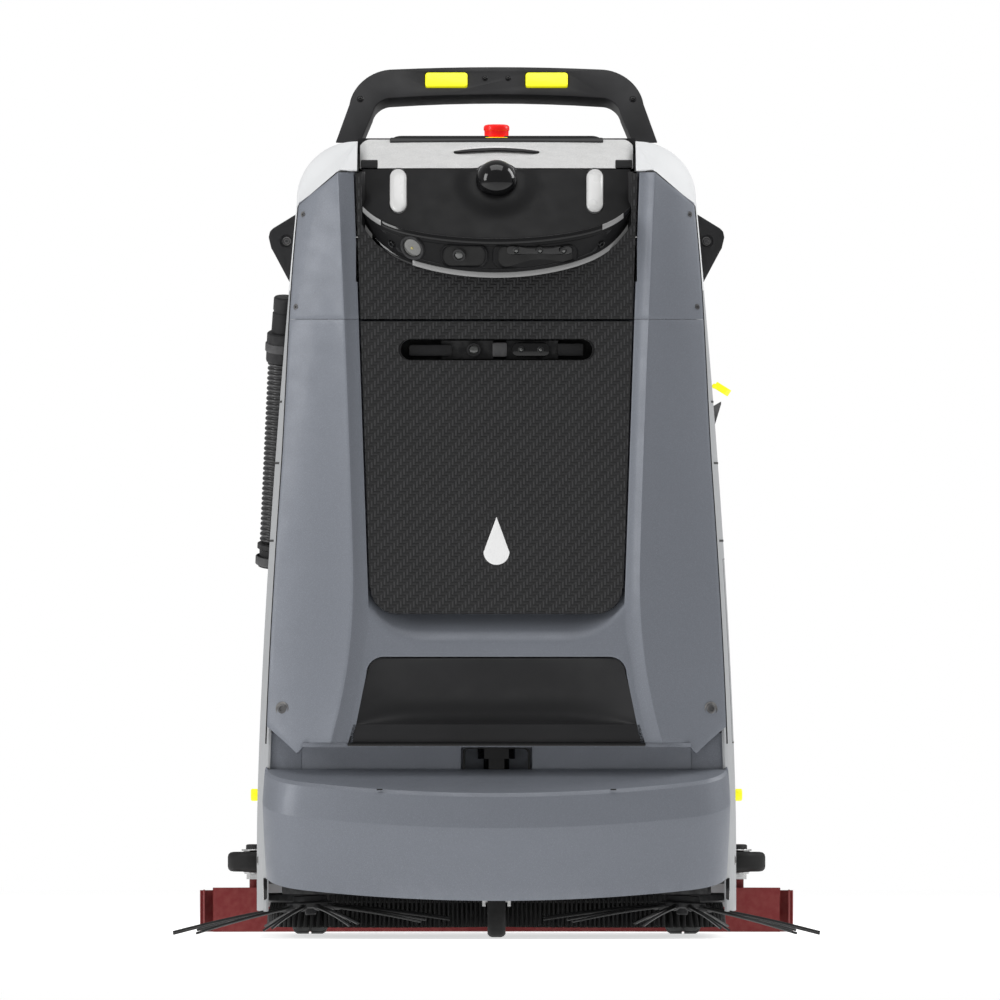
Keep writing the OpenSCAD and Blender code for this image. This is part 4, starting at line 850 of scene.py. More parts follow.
E = HEAD - 7.2
# Painted shade: the long dark upper stretch, in black gloss, is the unlit part of the strip and also stands in for
# the shade in the gap between the face and the bar.
strip("strip_upper_unlit_and_gap_shade", False, -178, 163, False, 1.0, rep=["light_strips"])
strip("strip_upper_lit_left", False, -E, -178.5, True, 1.8)
strip("strip_upper_lit_right", False, 163.5, 196, True, 1.8)
strip("strip_upper_end_right", False, 196.5, E, False, 1.4)
strip("strip_lower_end_left", True, -E, -192, True, 1.8)
strip("strip_lower_dark", True, -191.5, -130, False, 1.4)
strip("strip_lower_lit", True, -129.5, E, True, 1.8)

VIS = (0, -0.92, -0.38)


def in_bar(outline):
    """Keeps an outline on the sensor bar."""
    return [(x, clamp(z, visor_z(x) + 6.5, smile_z(x) - 7)) for x, z in outline]


def bar_normal(x, z):
    return ((visor_at(x + 1, z) - visor_at(x - 1, z)) / 2, -1, (visor_at(x, z + 1) - visor_at(x, z - 1)) / 2)


bar = [(x, smile_z(x) - 9) for x in steps(-176, 176, 60)] + [(x, visor_z(x) + 9)
    for x in reversed(steps(-150, 150, 50))]
piece("sensor_bar_inset", badge(visor_at, bar, [(0.985, 0.7), (1.0, 0.9), (1.012, 0.5), (1.012, -1),
    (0.985, -1), (0.985, 0.7)], out=VIS, centre=(0, HEAD_TOP - 135)), BLACK, sharp=50)
# Head lamp
m = aim(-130, visor_at(-130, HEAD_TOP - 123) - 1, HEAD_TOP - 123, bar_normal(-130, HEAD_TOP - 123))
piece("headlamp_ring", hoop([(15, -4), (15.5, 1.2), (17, 2.6), (19.6, 2.2), (20.5, 0), (20.5, -4)], m, 64),
    BLACK, sharp=50)
piece("headlamp_lens", lathe([(0, 0.6), (6, 0.9), (11, 0.7), (14.6, -0.4), (14.6, -3), (0, -3)], m, 64),
    make("headlamp_glass", (0.10, 0.10, 0.095), 0.12, coat=1.0, grain=90, depth=0.02, tint=0.1, blotch=200), sharp=50)
piece("headlamp_diode", lathe([(0, 2.2), (1.6, 1.9), (2.4, 1.0), (2.4, 0), (0, 0)], m, 20),
    make("diode", (0.42, 0.36, 0.12), 0.3, coat=0.4, grain=90, depth=0.02), sharp=60)
# Recesses of the two cameras: a raised rim round a dished floor
for name, cx, cz, w, h, r in (("camera_recess", -50, HEAD_TOP - 135, 72, 34, 14),
        ("depth_recess", 60, HEAD_TOP - 136, 128, 36, 13)):
    o = in_bar(rounded(cx, cz, w, h, r, 10))
    piece(name + "_rim", badge(visor_at, o, [(0.88, 0.6), (0.93, 2.2), (0.97, 3.6), (1.0, 3.4), (1.03, 1.4),
        (1.04, -0.8), (0.88, -0.8), (0.88, 0.6)], out=VIS), FACE, sharp=50)
    piece(name + "_floor", badge(visor_at, o, [(0, 1.0), (0.2, 1.0), (0.4, 1.0), (0.6, 1.0), (0.75, 1.0),
        (0.885, 0.9), (0.886, -1)], out=VIS), DARK, sharp=50)
lens_stack("head_camera", -57, HEAD_TOP - 133, visor_at(-57, HEAD_TOP - 133) - 0.2, 10,
    d=bar_normal(-57, HEAD_TOP - 133))
piece("depth_camera", badge(visor_at, rounded(66, HEAD_TOP - 126, 100, 14, 6.5, 8),
    [(0, 2.8), (0.25, 2.8), (0.5, 2.8), (0.75, 2.8), (0.95, 2.6), (1, 1.8), (1, 0.2)], out=VIS), GLOSS)
for i, x in enumerate((30, 66, 102)):
    lens_stack("depth_eye_%d" % i, x, HEAD_TOP - 126, visor_at(x, HEAD_TOP - 126) - 1.4, 5.5,
        d=bar_normal(x, HEAD_TOP - 126))


@both
def head_bits(s, tag):
    z = HEAD_TOP - 117
    screw("bar_screw_" + tag, s * 162, visor_at(162, z) - 1.2, z, bar_normal(s * 162, z), 4.6, mat=GLOSS)
    lz = HEAD_TOP - 35
    o = rounded(s * 151.5, lz, 25.6, 66, 12.8, 14)
    n = Vector((s * 0.2, -0.74, 0.66))
    piece("lamp_seat_" + tag, badge(head_y, o, [(1.02, 0.2), (1.045, 1.0), (1.08, 0.7), (1.08, -1),
        (1.02, -1), (1.02, 0.2)], out=n), GLOSS, sharp=60)
    piece("signal_lamp_" + tag, badge(head_y, o, [(0, 6.6), (0.45, 6.6), (0.62, 6.4), (0.72, 5.6), (0.9, 4.6),
        (0.98, 3), (1, 1.4), (1, -2)], out=n), LAMP, rep=["signal_lamps"] if s > 0 else (), sharp=60)
    # Cheek between the head and the flank of the shell
    rows_o, rows_i = [], []
    for z in steps(HEAD_TOP - 168, HEAD_TOP - 5, 20):
        zz = clamp(z, visor_z(E) + 2, HEAD_TOP)
        fx = HEAD - 9 - 26 * (1 - rise(z, HEAD_TOP - 168, HEAD_TOP - 120)) ** 2
        y0 = (head_y(fx, zz) if zz > smile_z(E) else visor_y(E, 0.5)) + 12
        y0 = min(y0, fy(z) + 20)
        xo = min(HEAD + 1.6, foot_x(z) - 3)
        pts = [(fx, y0 + 4), (fx + 2.2, y0 + 0.6), (fx + 6, y0 - 1), (xo - 4, y0 + 1.5), (xo, y0 + 8),
            (xo, fy(z) + 60), (xo, -300), (xo, -250)]
        rows_o.append([(s * x, y, z) for x, y in pts])
        rows_i.append([(s * (x - 2.2), y + 2.6, z) for x, y in pts])
    piece("head_cheek_" + tag, skin(rows_o, rows_i), BLACK, bevel=0.5)


# Collar that the ball lens sits in
piece("lens_collar", hoop([(31, -9), (33.5, -1), (35.5, 1.5), (38.5, 1.2), (41, -2), (41, -9)],
    aim(0, head_y(0, DOME_Z) - 6.5, DOME_Z, NORMAL), 72), GLOSS, sharp=60)

# ---------- lid ----------

HINGE_Y = hi("top_lid")[1]
LX = [x * 1.02 for x in HC]


def lid_z(x, y):
    f = head_y(x, HEAD_TOP)
    return mix(HEAD_TOP + 0.6, DECK - 1, rise(y, f, HINGE_Y - 5))


def smile(x, z):
    """Depth of the finger recess in the lid."""
    top = DECK - 13 - 9 * (abs(x) / 72) ** 2
    low = DECK - 28 + 5 * (abs(x) / 72) ** 4
    return 5 * ease(z, low - 2, low + 5) * (1 - ease(z, top - 1.5, top + 1)) * (1 - ease(abs(x), 64, 73))


def lid_pt(x, v, inner):
    f = head_y(x, HEAD_TOP)
    y = mix(f + (14 if inner else 0), HINGE_Y - 8, v)
    z = lid_z(x, y)
    a = abs(x) / (HEAD - 7) / 1.02
    roll = 9 * (rise(a, 0.93, 1.0)) ** 2
    nose = 3 * (1 - rise(v, 0, 0.05)) ** 2
    if inner:
        return x * 0.985, y, z - 5 - roll * 0.4
    return x, y + nose * 0.3, max(z - roll - smile(x, z) + 1.2 * sin(pi * v), HEAD_TOP + 0.4)


vs = [0, 0.006, 0.015, 0.03, 0.05] + steps(0.08, 1, 60)
piece("lid_skin", slab(lid_pt, LX, vs, 1), SILVER, "lid", rep=["top_lid"], bevel=0.7, sharp=40)


def lid_y(x, z):
    """Where the lid's top reaches height z."""
    f = head_y(x, HEAD_TOP)
    return mix(f, HINGE_Y - 8, rise(z, HEAD_TOP + 0.6, DECK - 1))


piece("lid_slot_bar", badge(lid_y, rounded(0, DECK - 3.6, 330, 6.4, 1.2, 3),
    [(0, 1.6), (0.5, 1.6), (0.99, 1.5), (1, 1.0), (1, -3)], out=(0, -0.45, 0.89)), GLOSS, "lid", sharp=50)
grin = [(x, DECK - 15.4 - 6 * (abs(x) / 70) ** 2) for x in steps(-66, 66, 40)]
grin += [(x, DECK - 18.8 - 4 * (abs(x) / 70) ** 2) for x in reversed(steps(-66, 66, 40))]
piece("lid_grip_shade", badge(lambda x, z: lid_y(x, z) + 1, grin, [(0, 0.3), (0.6, 0.3), (1, 0.3), (1, -2.5)],
    out=(0, -0.45, 0.89), centre=(0, DECK - 19)), BLACK, "lid", sharp=60)
piece("lid_seam", slab(lambda x, z, t: (x, head_y(x, HEAD_TOP) - 0.9 + t, z), steps(-184, 184, 60),
    (HEAD_TOP - 1.9, HEAD_TOP - 0.2), 3.9), DARK)
both(lambda s, tag: piece("lid_corner_" + tag, badge(lid_y,
    rounded(s * 196.5, HEAD_TOP + 7, 26, 12.4, 1.5, 3), [(0, 1.4), (0.5, 1.4), (0.97, 1.4), (1, 1.0),
    (1, -3)], out=(s * 0.25, -0.8, 0.5)), FACE, "lid", sharp=50))
HINGE = at(0, -232, DECK - 5) @ turned(90, "Y")
piece("lid_hinge_barrel", hoop([(3.4, -150), (5, -149), (5, -52), (4.4, -51), (4.4, -49), (5, -48), (5, 48),
    (4.4, 49), (4.4, 51), (5, 52), (5, 149), (3.4, 150)], HINGE, 24), BLACK, "lid", sharp=40)

# ---------- shoulders ----------

SY = [-240, -20, 200, 290]


def deck_drop(y):
    if y < -232:
        return 26
    return 20 if y < -118 else mix(30, 108, rise(y, -118, 96))


def s_full(s):
    u, z = rise(s, 0.25, 1), mix(SEAM + 0.3, SHOULDER, min(s / 0.25, 1))
    if s < 0.25:
        return hw(z), z
    return HEAD + (hw(SHOULDER) - HEAD) * cos(pi / 2 * u), SHOULDER + (DECK - 5 - SHOULDER) * sin(pi / 2 * u)


def s_front(s):
    zc = SHOULDER - 8
    z, u = mix(SEAM + 0.3, zc, min(s / 0.25, 1)), rise(s, 0.25, 1)
    v, w = rise(u, 0, 0.72), rise(u, 0.72, 1)
    if s < 0.25:
        return edge_x(z), fy(z) + 50 + WALL + GAP, z
    return (mix(edge_x(zc), HEAD + 3, u), mix(fy(zc) + 50, fy(HEAD_TOP) + 2, v) + 150 * w + GAP + WALL + 1,
        mix(zc, HEAD_TOP - 4, v) + (DECK - 6 - HEAD_TOP) * w + 2 * v)


def s_point(s, c, t):
    e = min(s, 1)
    f, p = s_front(e), s_full(e)
    near = (1, 0.62, 0, 0, 0, 0, 0)[c]
    y = f[1] if c == 0 else mix(f[1], SY[0], 0.5) if c == 1 else ry(SHOULDER) - 10 if c == 6 else SY[c - 2]
    drop = {6: 76, 5: 26}.get(c, 0) * e
    tuck = {6: 40, 5: 12}.get(c, 0) * (1 - e)
    a = rise(e, 0.25, 1) * pi / 2
    z = mix(p[1], f[2], near) - drop
    if s > 1:
        return HEAD + 1 + t, y, min(z - 10, DECK - deck_drop(y)) - {6: 40, 5: 10}.get(c, 0)
    return (max(mix(p[0], f[0], near) - tuck - t * cos(a), HEAD + 1 + (t if s == 1 else 0)),
        y + (t * 0.6 * sin(a) if c == 0 else 0), z - t * sin(a))


def s_row(s, t):
    """Smooth run of the shoulder from front to rear, closed by the rear wall."""
    key = [s_point(s, c, t) for c in range(7)]
    out = []
    for i in range(6):
        p0, p1, p2, p3 = key[max(i - 1, 0)], key[i], key[i + 1], key[min(i + 2, 6)]
        for j in range(6):
            u = j / 6
            if s > 1 or i == 0:
                out.append(tuple(mix(a, b, u) for a, b in zip(p1, p2)))
                continue
            q = []
            for a, b, c, d in zip(p0, p1, p2, p3):
                q.append(0.5 * (2 * b + (c - a) * u + (2 * a - 5 * b + 4 * c - d) * u * u
                    + (3 * b - a - 3 * c + d) * u ** 3))
            lim = sorted((p1[2], p2[2]))
            out.append((clamp(q[0], HEAD + 1, 400), mix(p1[1], p2[1], u), clamp(q[2], lim[0], lim[1] + 1.5)))
    out.append(key[6])
    p = key[6]
    top = DECK - 150 + GAP
    z = min(p[2], top) if s < 0.25 else top
    for u in (0.15, 0.4, 1):
        zz = mix(p[2], z, u)
        out.append((p[0], mix(p[1], ry(z) - t - GAP + (0 if p[2] > z else 0.4), min(1, u * 2.2)), zz))
    return out


@both
def shoulder(s, tag):
    ss = steps(0, 0.25, 6) + steps(0.25, 1, 26)[1:] + [1.2]
    mesh = skin([s_row(q, 0) for q in ss], [s_row(q, WALL) for q in ss])
    piece("shoulder_skin_" + tag, mesh if s > 0 else flip(mesh), WHITE, rep=["shoulder_" + tag], bevel=1.2)


@both
def gusset(s, tag):
    """Closes the shoulder's front between its edge and the head."""
    o, i = [], []
    for q in steps(0.79, 0.995, 12):
        x, y, z = s_point(q, 0, 0)
        o.append([(s * mix(x, HEAD + 1.3, u), y - 2.5 * sin(pi * u) * 0.4, z) for u in steps(0, 1, 6)])
        i.append([(s * mix(x, HEAD + 1.3, u), y + 3, z - 2.5) for u in steps(0, 1, 6)])
    piece("shoulder_front_" + tag, skin(o, i), WHITE, bevel=0.5)


# ---------- side covers ----------

ZROWS = (steps(lo("side_cover_right")[2], 150, 8) + steps(160, 530, 20) + steps(540, 566, 4)
    + steps(590, SEAM - 0.3, 26))


@both
def cover(s, tag):
    def cols(z):
        a, b, h = cover_front(z), ry(z), hose_y(clamp(z, 540, 1100))
        k = [h - 58, h - 46, h + 46, h + 58]
        return (steps(a, a + 60, 5) + steps(a + 80, k[0] - 6, 12) + steps(k[0], k[1], 3)
            + steps(k[1] + 8, k[2] - 8, 6) + steps(k[2], k[3], 3) + steps(k[3] + 8, b - 150, 6)
            + steps(b - 140, b, 10))

    def pt(y, z, t):
        d = 0
        if s < 0:
            d = 48 * rise(z, 540, 565) * clamp((58 - abs(y - hose_y(z))) / 12)
        roll = 3.5 * (1 - rise(y, cover_front(z), cover_front(z) + 9)) ** 2
        return s * (side_x(y, z) - t - d - roll), y, z
    o = [[pt(y, z, 0) for y in cols(z)] for z in ZROWS]
    i = [[pt(y, z, 4) for y in cols(z)] for z in ZROWS]
    hole = lathe([(0, -60), (6.5, -60), (6.5, 60), (0, 60)], aim(s * BASE / 2, *KNOB, (1, 0, 0)), 24)
    piece("side_cover_skin_" + tag, skin(o, i), SIDE, rep=["side_cover_" + tag], bevel=1, cuts=[hole])
    # Panel joints: thin dark lines along the cover
    for j, (z, y0, y1) in enumerate(((828, -300, -60), (733, -360, -80), (613, -370, -110))):
        ys = steps(max(y0, cover_front(z) + 1), y1, 24)
        piece("side_joint_%s_%d" % (tag, j), slab(lambda y, dz, t: (s * (side_x(y, z) + 0.5 - t), y, z + dz),
            ys, (-1.6, 1.6), 2.5), DARK)
    # Door outline
    if s > 0:
        corners = [(-340, 300), (270, 300), (270, 585), (-312, 585)]
        line = [(mix(a[0], b[0], u), mix(a[1], b[1], u)) for a, b in zip(corners, corners[1:] + corners[:1])
            for u in steps(0, 1, 14)[:-1]]
        line.append(line[0])
        near = [(mix(y, -40, 0.008), mix(z, 515, 0.01)) for y, z in line]
        piece("door_joint_" + tag, skin(*[[[(side_x(y, z) + d, y, z) for y, z in r] for r in (line, near)]
            for d in (0.35, -1.65)]), DARK)
    for j, (y, z) in enumerate(((-330, 940), (300, 940), (-330, 120), (330, 120))):
        screw("cover_screw_%s_%d" % (tag, j), s * (side_x(y, z) + 0.2), y, z, (s, 0, 0.05), 5.5)
    # Low side window in the front corner
    wy = cover_front(75)
    piece("corner_window_" + tag, prism(rounded(wy + 4.2, 76, 9, 34, 3, 4),
        lambda a, b, d: (s * (side_x(a, b) - 3.2 + d), a, b), -2, 3.4), GLOSS, bevel=0.6)


# ---------- rear cover ----------

COV_LOW = lo("rear_cover")[2]


def rear_pt(k, z, t):
    w = side_x(ry(z), min(z, SHOULDER)) - 3 - WALL
    y = ry(z) - t - (1 + 5 * rise(abs(k), 0.97, 1) ** 2 if abs(k) > 0.97 else 0)
    return w * k - ((k > 0) - (k < 0)) * t * 0.5, y, z


ks = steps(-1, -0.95, 4) + steps(-0.9, 0.9, 36) + steps(0.95, 1, 4)
rows = steps(COV_LOW, hi("rear_cover")[2], 60)
SUCT = 410  # height where the suction hose leaves the rear cover
piece("rear_cover_skin", slab(rear_pt, ks, rows, WALL), SIDE, rep=["rear_cover"], bevel=1.1,
    cuts=[lathe([(0, -80), (33, -80), (33, 80), (0, 80)], aim(0, ry(SUCT), SUCT, (0, 1, 0)), 40),
    prism([(-84, 0), (84, 0), (84, 196), (72, 208), (-72, 208), (-84, 196)], through, REAR - 80, REAR + 40)])
piece("suction_collar", hoop([(27.4, -10), (27.4, 11), (29, 12.5), (33, 12.5), (35, 10), (36, 2), (40, 0),
    (40, -2), (30, -2), (30, -10)], aim(0, ry(SUCT) + 2, SUCT, (0, 1, 0)), 56), BLACK, sharp=30)


def rear_at(x, z):
    return ry(z)


for i in range(7):
    z = 1040 - i * 16
    piece("rear_louvre_%d" % i, badge(rear_at, rounded(0, z, 250, 8, 3.9, 6),
        [(0, 0.4), (0.6, 0.4), (0.97, 0.5), (1, 0.2), (1, -2)], out=(0, 1, 0)), DARK, sharp=60)
o = rounded(0, 690, 430, 420, 36, 10)
piece("rear_door_joint", badge(rear_at, o, [(1, 0.3), (1.009, 0.3), (1.009, -2), (1, -2), (1, 0.3)],
    out=(0, 1, 0)), DARK, sharp=60)
piece("rear_door_pull", badge(rear_at, rounded(0, 845, 130, 34, 16, 10),
    [(0, -0.1), (0.5, 0.3), (0.8, 0.8), (0.9, 4), (0.97, 5), (1, 3.5), (1, -2)], out=(0, 1, 0)), BLACK,
    sharp=50)
both(lambda s, tag: [screw("rear_screw_%s_%d" % (tag, j), s * 268, ry(z) + 0.3, z, (0, 1, 0), 5.5)
    for j, z in enumerate((180, 520, 1050))])

# Charging contacts and the water inlet, on the faces that the frame's mounts name
MOUNT = {m["name"]: [v / MM for v in m["pos_m"]] for m in frame["record"]["mounts"]}
dx, dy, dz = MOUNT["dock_face"]
BRASS = make("contact_brass", (0.62, 0.42, 0.16), 0.3, metal=1.0, depth=0.02, tint=0.1, pattern=brushed)
piece("charge_frame", badge(lambda x, z: dy, rounded(dx, dz, 117, 67, 6, 6),
    [(1, -2), (1, 0.3), (0.985, 0.7), (0.93, 0.7), (0.915, -2), (1, -2)], out=(0, 1, 0)), STEEL, sharp=40)
for i, z in enumerate((dz + 14, dz - 14)):
    piece("charge_contact_%d" % i, badge(lambda x, z: dy, rounded(dx, z, 84, 13, 5, 8),
        [(0, 0.8), (0.5, 0.8), (0.95, 0.7), (1, 0.3), (1, -2)], out=(0, 1, 0)), BRASS, sharp=50)
wx, wy, wz = MOUNT["water_inlet"]
piece("inlet_nut", hoop([(13.3, -12.4), (22, -12.4), (23, -11.4), (23, -5), (21, -3.4), (13.3, -3)],
    aim(wx, wy, wz, (0, 1, 0)), 6), ZINC, bevel=0.6)
piece("inlet_tail", hoop([(13.3, -2.9), (13.9, -2.5), (14.1, 1.8), (13.3, 2.2), (13.9, 2.6), (14.1, 6.8),
    (13.3, 7.2), (13.9, 7.6), (13.7, 11.6), (12, 12.8), (8.5, 12.8), (8.5, 12.55), (13.3, 12.55)],
    aim(wx, wy, wz, (0, 1, 0)), 48), ZINC, sharp=40)

# ---------- deck, screen and stop button ----------

def screen_at(x, y, d):
    """A point above the sloping deck, at depth y and height d along its normal."""
    (_, y0, z1), (_, y1, z0) = lo("touchscreen"), hi("touchscreen")
    slope = (z1 + 4 - z0) / (y1 - y0)
    n = Vector((0, -slope, 1)).normalized()
    return tuple(Vector((x, y, z0 + slope * (y - y0))) + n * d)


def ringed(outer, inner, d0, d1):
    """A frame between two outlines on the deck, from depth d0 to height d1."""
    n = len(outer)
    v = [screen_at(a, b, d) for pts, d in ((outer, d0), (outer, d1), (inner, d1), (inner, d0))
        for a, b in pts]
    rows = [list(range(q * n, q * n + n)) for q in (0, 1, 2, 3, 0)]
    return v, rings_to_faces(rows, n)


_, yc, _ = middle("touchscreen")
yh = hi("touchscreen")[1] - lo("touchscreen")[1]
piece("screen_bezel", ringed(rounded(0, yc, 322, yh + 5, 14, 8), rounded(0, yc, 286, yh - 14, 4, 8), -6, 0.9),
    BLACK, bevel=1)
SM = at(*middle("stop_button")[:2], DECK)
piece("stop_cap", lathe([(0, -17), (12, -17), (12, 6.3), (17.6, 6.3), (17.6, 4.4), (18.7, 4.3), (18.9, 12),
    (20, 13), (20, 17.2), (19.2, 19.4), (17, 21), (13, 21.8), (6, 22.1), (0, 22.1)], SM, 64), RED_GLOW,
    "stop_button", rep=["stop_button"], sharp=26)
piece("stop_collar", hoop([(13.2, -1), (13.2, 2), (17, 2), (17, 0.1), (20.6, 0.1), (20.6, 1.2), (24, 1.2),
    (25, 0), (25, -1)], SM, 64), YELLOW_GLOW, sharp=30)

# ---------- push bar ----------

LEAN_BAR = rad(25)
BARM = at(0, 60, DECK - 5.5) @ Matrix.Rotation(-LEAN_BAR, 4, "X")
BLEN = 114 / cos(LEAN_BAR)
BW = hi("push_bar")[0] * 2


def bar_at(a, b, d):
    return tuple(BARM @ Vector((a, d, b)))


half, top = BW / 2, BLEN + 6


def corner(x, z, r, lean, turn):
    """One rounded upper corner of the bar, right for turn 0 and left for turn 90."""
    k = 1 if turn == 0 else -1
    return [(k * (half - x) + r * cos(rad(a)) - k * lean * sin(rad(a)), top - z + r * sin(rad(a)))
        for a in range(turn, turn + 91, 6)]


TOP_X = (120, 80, 40, 0, -40, -80, -120)
outer = [(-half, -6), (half, -6)] + corner(84, 64, 60, 8, 0)
outer += [(x, top - 4 * (abs(x) / (half - 92)) ** 2) for x in TOP_X] + corner(84, 64, 60, 8, 90)
inner = [(half - 38, -6)] + corner(86, 80, 26, 4, 0)
inner += [(x, top - 48 - 6 * (abs(x) / (half - 90)) ** 2) for x in TOP_X] + corner(86, 80, 26, 4, 90)
inner += [(-half + 38, -6)]
loop = outer[1:] + [outer[0]] + list(reversed(inner))
TZ = BLEN - 17
pocket = [prism(rounded(s * 78, TZ, 66.8, 25.8, 4, 4), bar_at, -8, 14.5) for s in (-1, 1)]
below = prism([(-400, -300), (400, -300), (400, 300), (-400, 300)], lambda a, b, d: (a, b, d), DECK - 80,
    DECK - 4.7)
piece("push_bar_grip", prism(loop, bar_at, 0, 34), GRIP, rep=["push_bar"], bevel=4, seg=3,
    cuts=pocket + [below])


@both
def bar_bits(s, tag):
    piece("trigger_pad_" + tag, prism(rounded(s * 78, TZ, 65.6, 24.6, 5, 5), bar_at, -3, 9), YELLOW_GLOW,
        "trigger_" + tag, rep=["trigger_" + tag], bevel=2, seg=3)
    d = BARM.to_3x3() @ Vector((0, -1, 0))
    for j, (x, b, r) in enumerate(((212, 76, 3.6), (18, TZ + 3, 3))):
        p = bar_at(s * x, b, -0.3)
        screw("bar_bolt_%s_%d" % (tag, j), *p, d, r, mat=GLOSS)


# ---------- side fittings ----------

PZ, PY = DECK - 150, 30


@both
def pods(s, tag):
    i0 = side_x(PY, PZ + 34) + 0.3
    line = [(i0, PZ + 34), (hw(PZ) + 33, PZ + 12), (hw(PZ) + 38, PZ + 7), (hw(PZ) + 40, PZ - 2),
        (hw(PZ) + 36, PZ - 19), (hw(PZ) + 33, PZ - 24), (side_x(PY, PZ - 72) + 1, PZ - 72)]
    piece("side_pod_" + tag, prism(line, lambda a, b, d: (s * a, d, b), PY - 40, PY + 40), BLACK,
        rep=["side_sensors"] if s > 0 else (), bevel=2.4, seg=3, sharp=20,
        cuts=[prism(rounded(hw(PZ) + 12, PZ - 8, 20, 20, 9.9, 6), lambda a, b, d: (s * a, d, b), PY - 60,
        PY - 34)])
    screw("pod_screw_" + tag, s * (hw(PZ) + 12), PY - 34.5, PZ - 8, (0, -1, 0), 4.5)
    piece("pod_eye_" + tag, lathe([(0, -2), (9, -2), (9, 1), (8, 2), (6.4, 1.6), (5, 2.4), (0, 3.2)],
        aim(s * (hw(PZ) + 33.8), PY, PZ - 8, (s, 0, -0.15)), 32), GLOSS)
    kx = side_x(*KNOB)
    piece("knob_cap_" + tag, lathe([(0, -15), (5, -15), (5, 0.3), (8.6, 0.3), (9.5, 1.4), (9.5, 9),
        (8.4, 10.6), (5, 11), (4.4, 10.2), (0, 10.2)], aim(s * kx, *KNOB, (s, 0, 0)), 48,
        mod=lambda i, h: 1 - (0.05 if (i % 4 == 0 and 1 < h < 9.5) else 0)), YELLOW_GLOW, "knob_" + tag,
        rep=["knob_" + tag], sharp=30)


b0, b1 = lo("tank_latch"), hi("tank_latch")
hx, hz = b0[0] + 4.02, b1[2] - 4
PIN = at(hx, middle("tank_latch")[1], hz)
LM = PIN @ turned(32, "Y")
lever = [(0, -28), (20, -28), (26, -22), (26, 22), (20, 28), (0, 28)]
piece("latch_lever", join(prism(lever, lambda a, b, d: tuple(LM @ Vector((a, b, d))), -3, 8),
    lathe([(0, -30), (3.9, -30), (3.9, 30), (0, 30)], PIN @ turned(90, "X"), 24)), YELLOW_GLOW, "latch",
    rep=["tank_latch"], bevel=1)

# ---------- drain hose, held at both ends by the left cover ----------

HM = (at(-(TOP / 2 + 24) + 5, 60, DECK - 244) @ turned(2.7, "Y") @ turned(12.7, "X")
    @ Matrix.Diagonal((1, 1, -1, 1)))
RIBS, PITCH, START = 36, 8, 104
foot = START + RIBS * PITCH
prof = [(18, START)]
for i in range(RIBS):
    d = START + i * PITCH
    prof += [(20, d + 0.2), (22.3, d + 1), (23, d + 2.6), (22.3, d + 4.2), (20, d + 5), (19.4, d + 6.5)]
prof += [(18, foot), (18, START)]
piece("drain_hose_ribbed", lathe(prof, HM, 40), HOSE, rep=["drain_hose"], sharp=60)
piece("drain_hose_ends", join(lathe([(0, 0), (16, 0), (18, 2), (18.4, 20), (17.4, 22), (17.4, 24), (18.8, 26),
    (19.6, 56), (24, 57), (26, 59), (26, 100), (25, 103.4), (0, 103.4)], HM, 48),
    lathe([(0, foot + 0.4), (23, foot + 0.4), (26, foot + 2), (26, foot + 9), (22.5, foot + 11),
    (22, foot + 24), (24, foot + 34), (23.4, foot + 38), (18, foot + 38), (17, foot + 30), (0, foot + 30)],
    HM, 48)), BLACK, sharp=28)
for j, d in enumerate((80, foot + 28)):
    c = HM @ Vector((0, 0, d))
    x1 = -(side_x(c.y, c.z) - 48) + 1
    line = rounded((c.x + x1) / 2 + 6, c.z, abs(c.x - x1) - 6, 16, 3, 3)
    piece("hose_clip_%d" % j, join(prism(line, through, c.y - 8, c.y + 8),
        hoop([(26.2, d - 7), (28, d - 6), (28, d + 6), (26.2, d + 7)], HM, 40)), STEEL,
        rep=["hose_fittings"] if j == 0 else (), bevel=0.6)

# ---------- suction hose ----------

SW = hi("squeegee_carrier")[1] - 36
SFOOT = lo("suction_hose")[2]
A, B, C, D = (Vector((0, SW, SFOOT)), Vector((0, SW, SUCT - 60)), Vector((0, SW - 10, SUCT)),
    Vector((0, ry(SUCT) - 6, SUCT)))
path = [(1 - t) ** 3 * A + 3 * t * (1 - t) ** 2 * B + 3 * t * t * (1 - t) * C + t ** 3 * D
    for t in steps(0, 1, 220)]
hose = piece("suction_hose_ribbed", tube(path, lambda t: 25.3 + 1.6 * math.sin(t * 44 * 2 * pi)
    if 0.03 < t < 0.97 else 26.2, 40), HOSE, None, rep=["suction_hose"], sharp=70)
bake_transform(hose)

# ---------- sweeping and scrubbing ----------

random.seed(7)


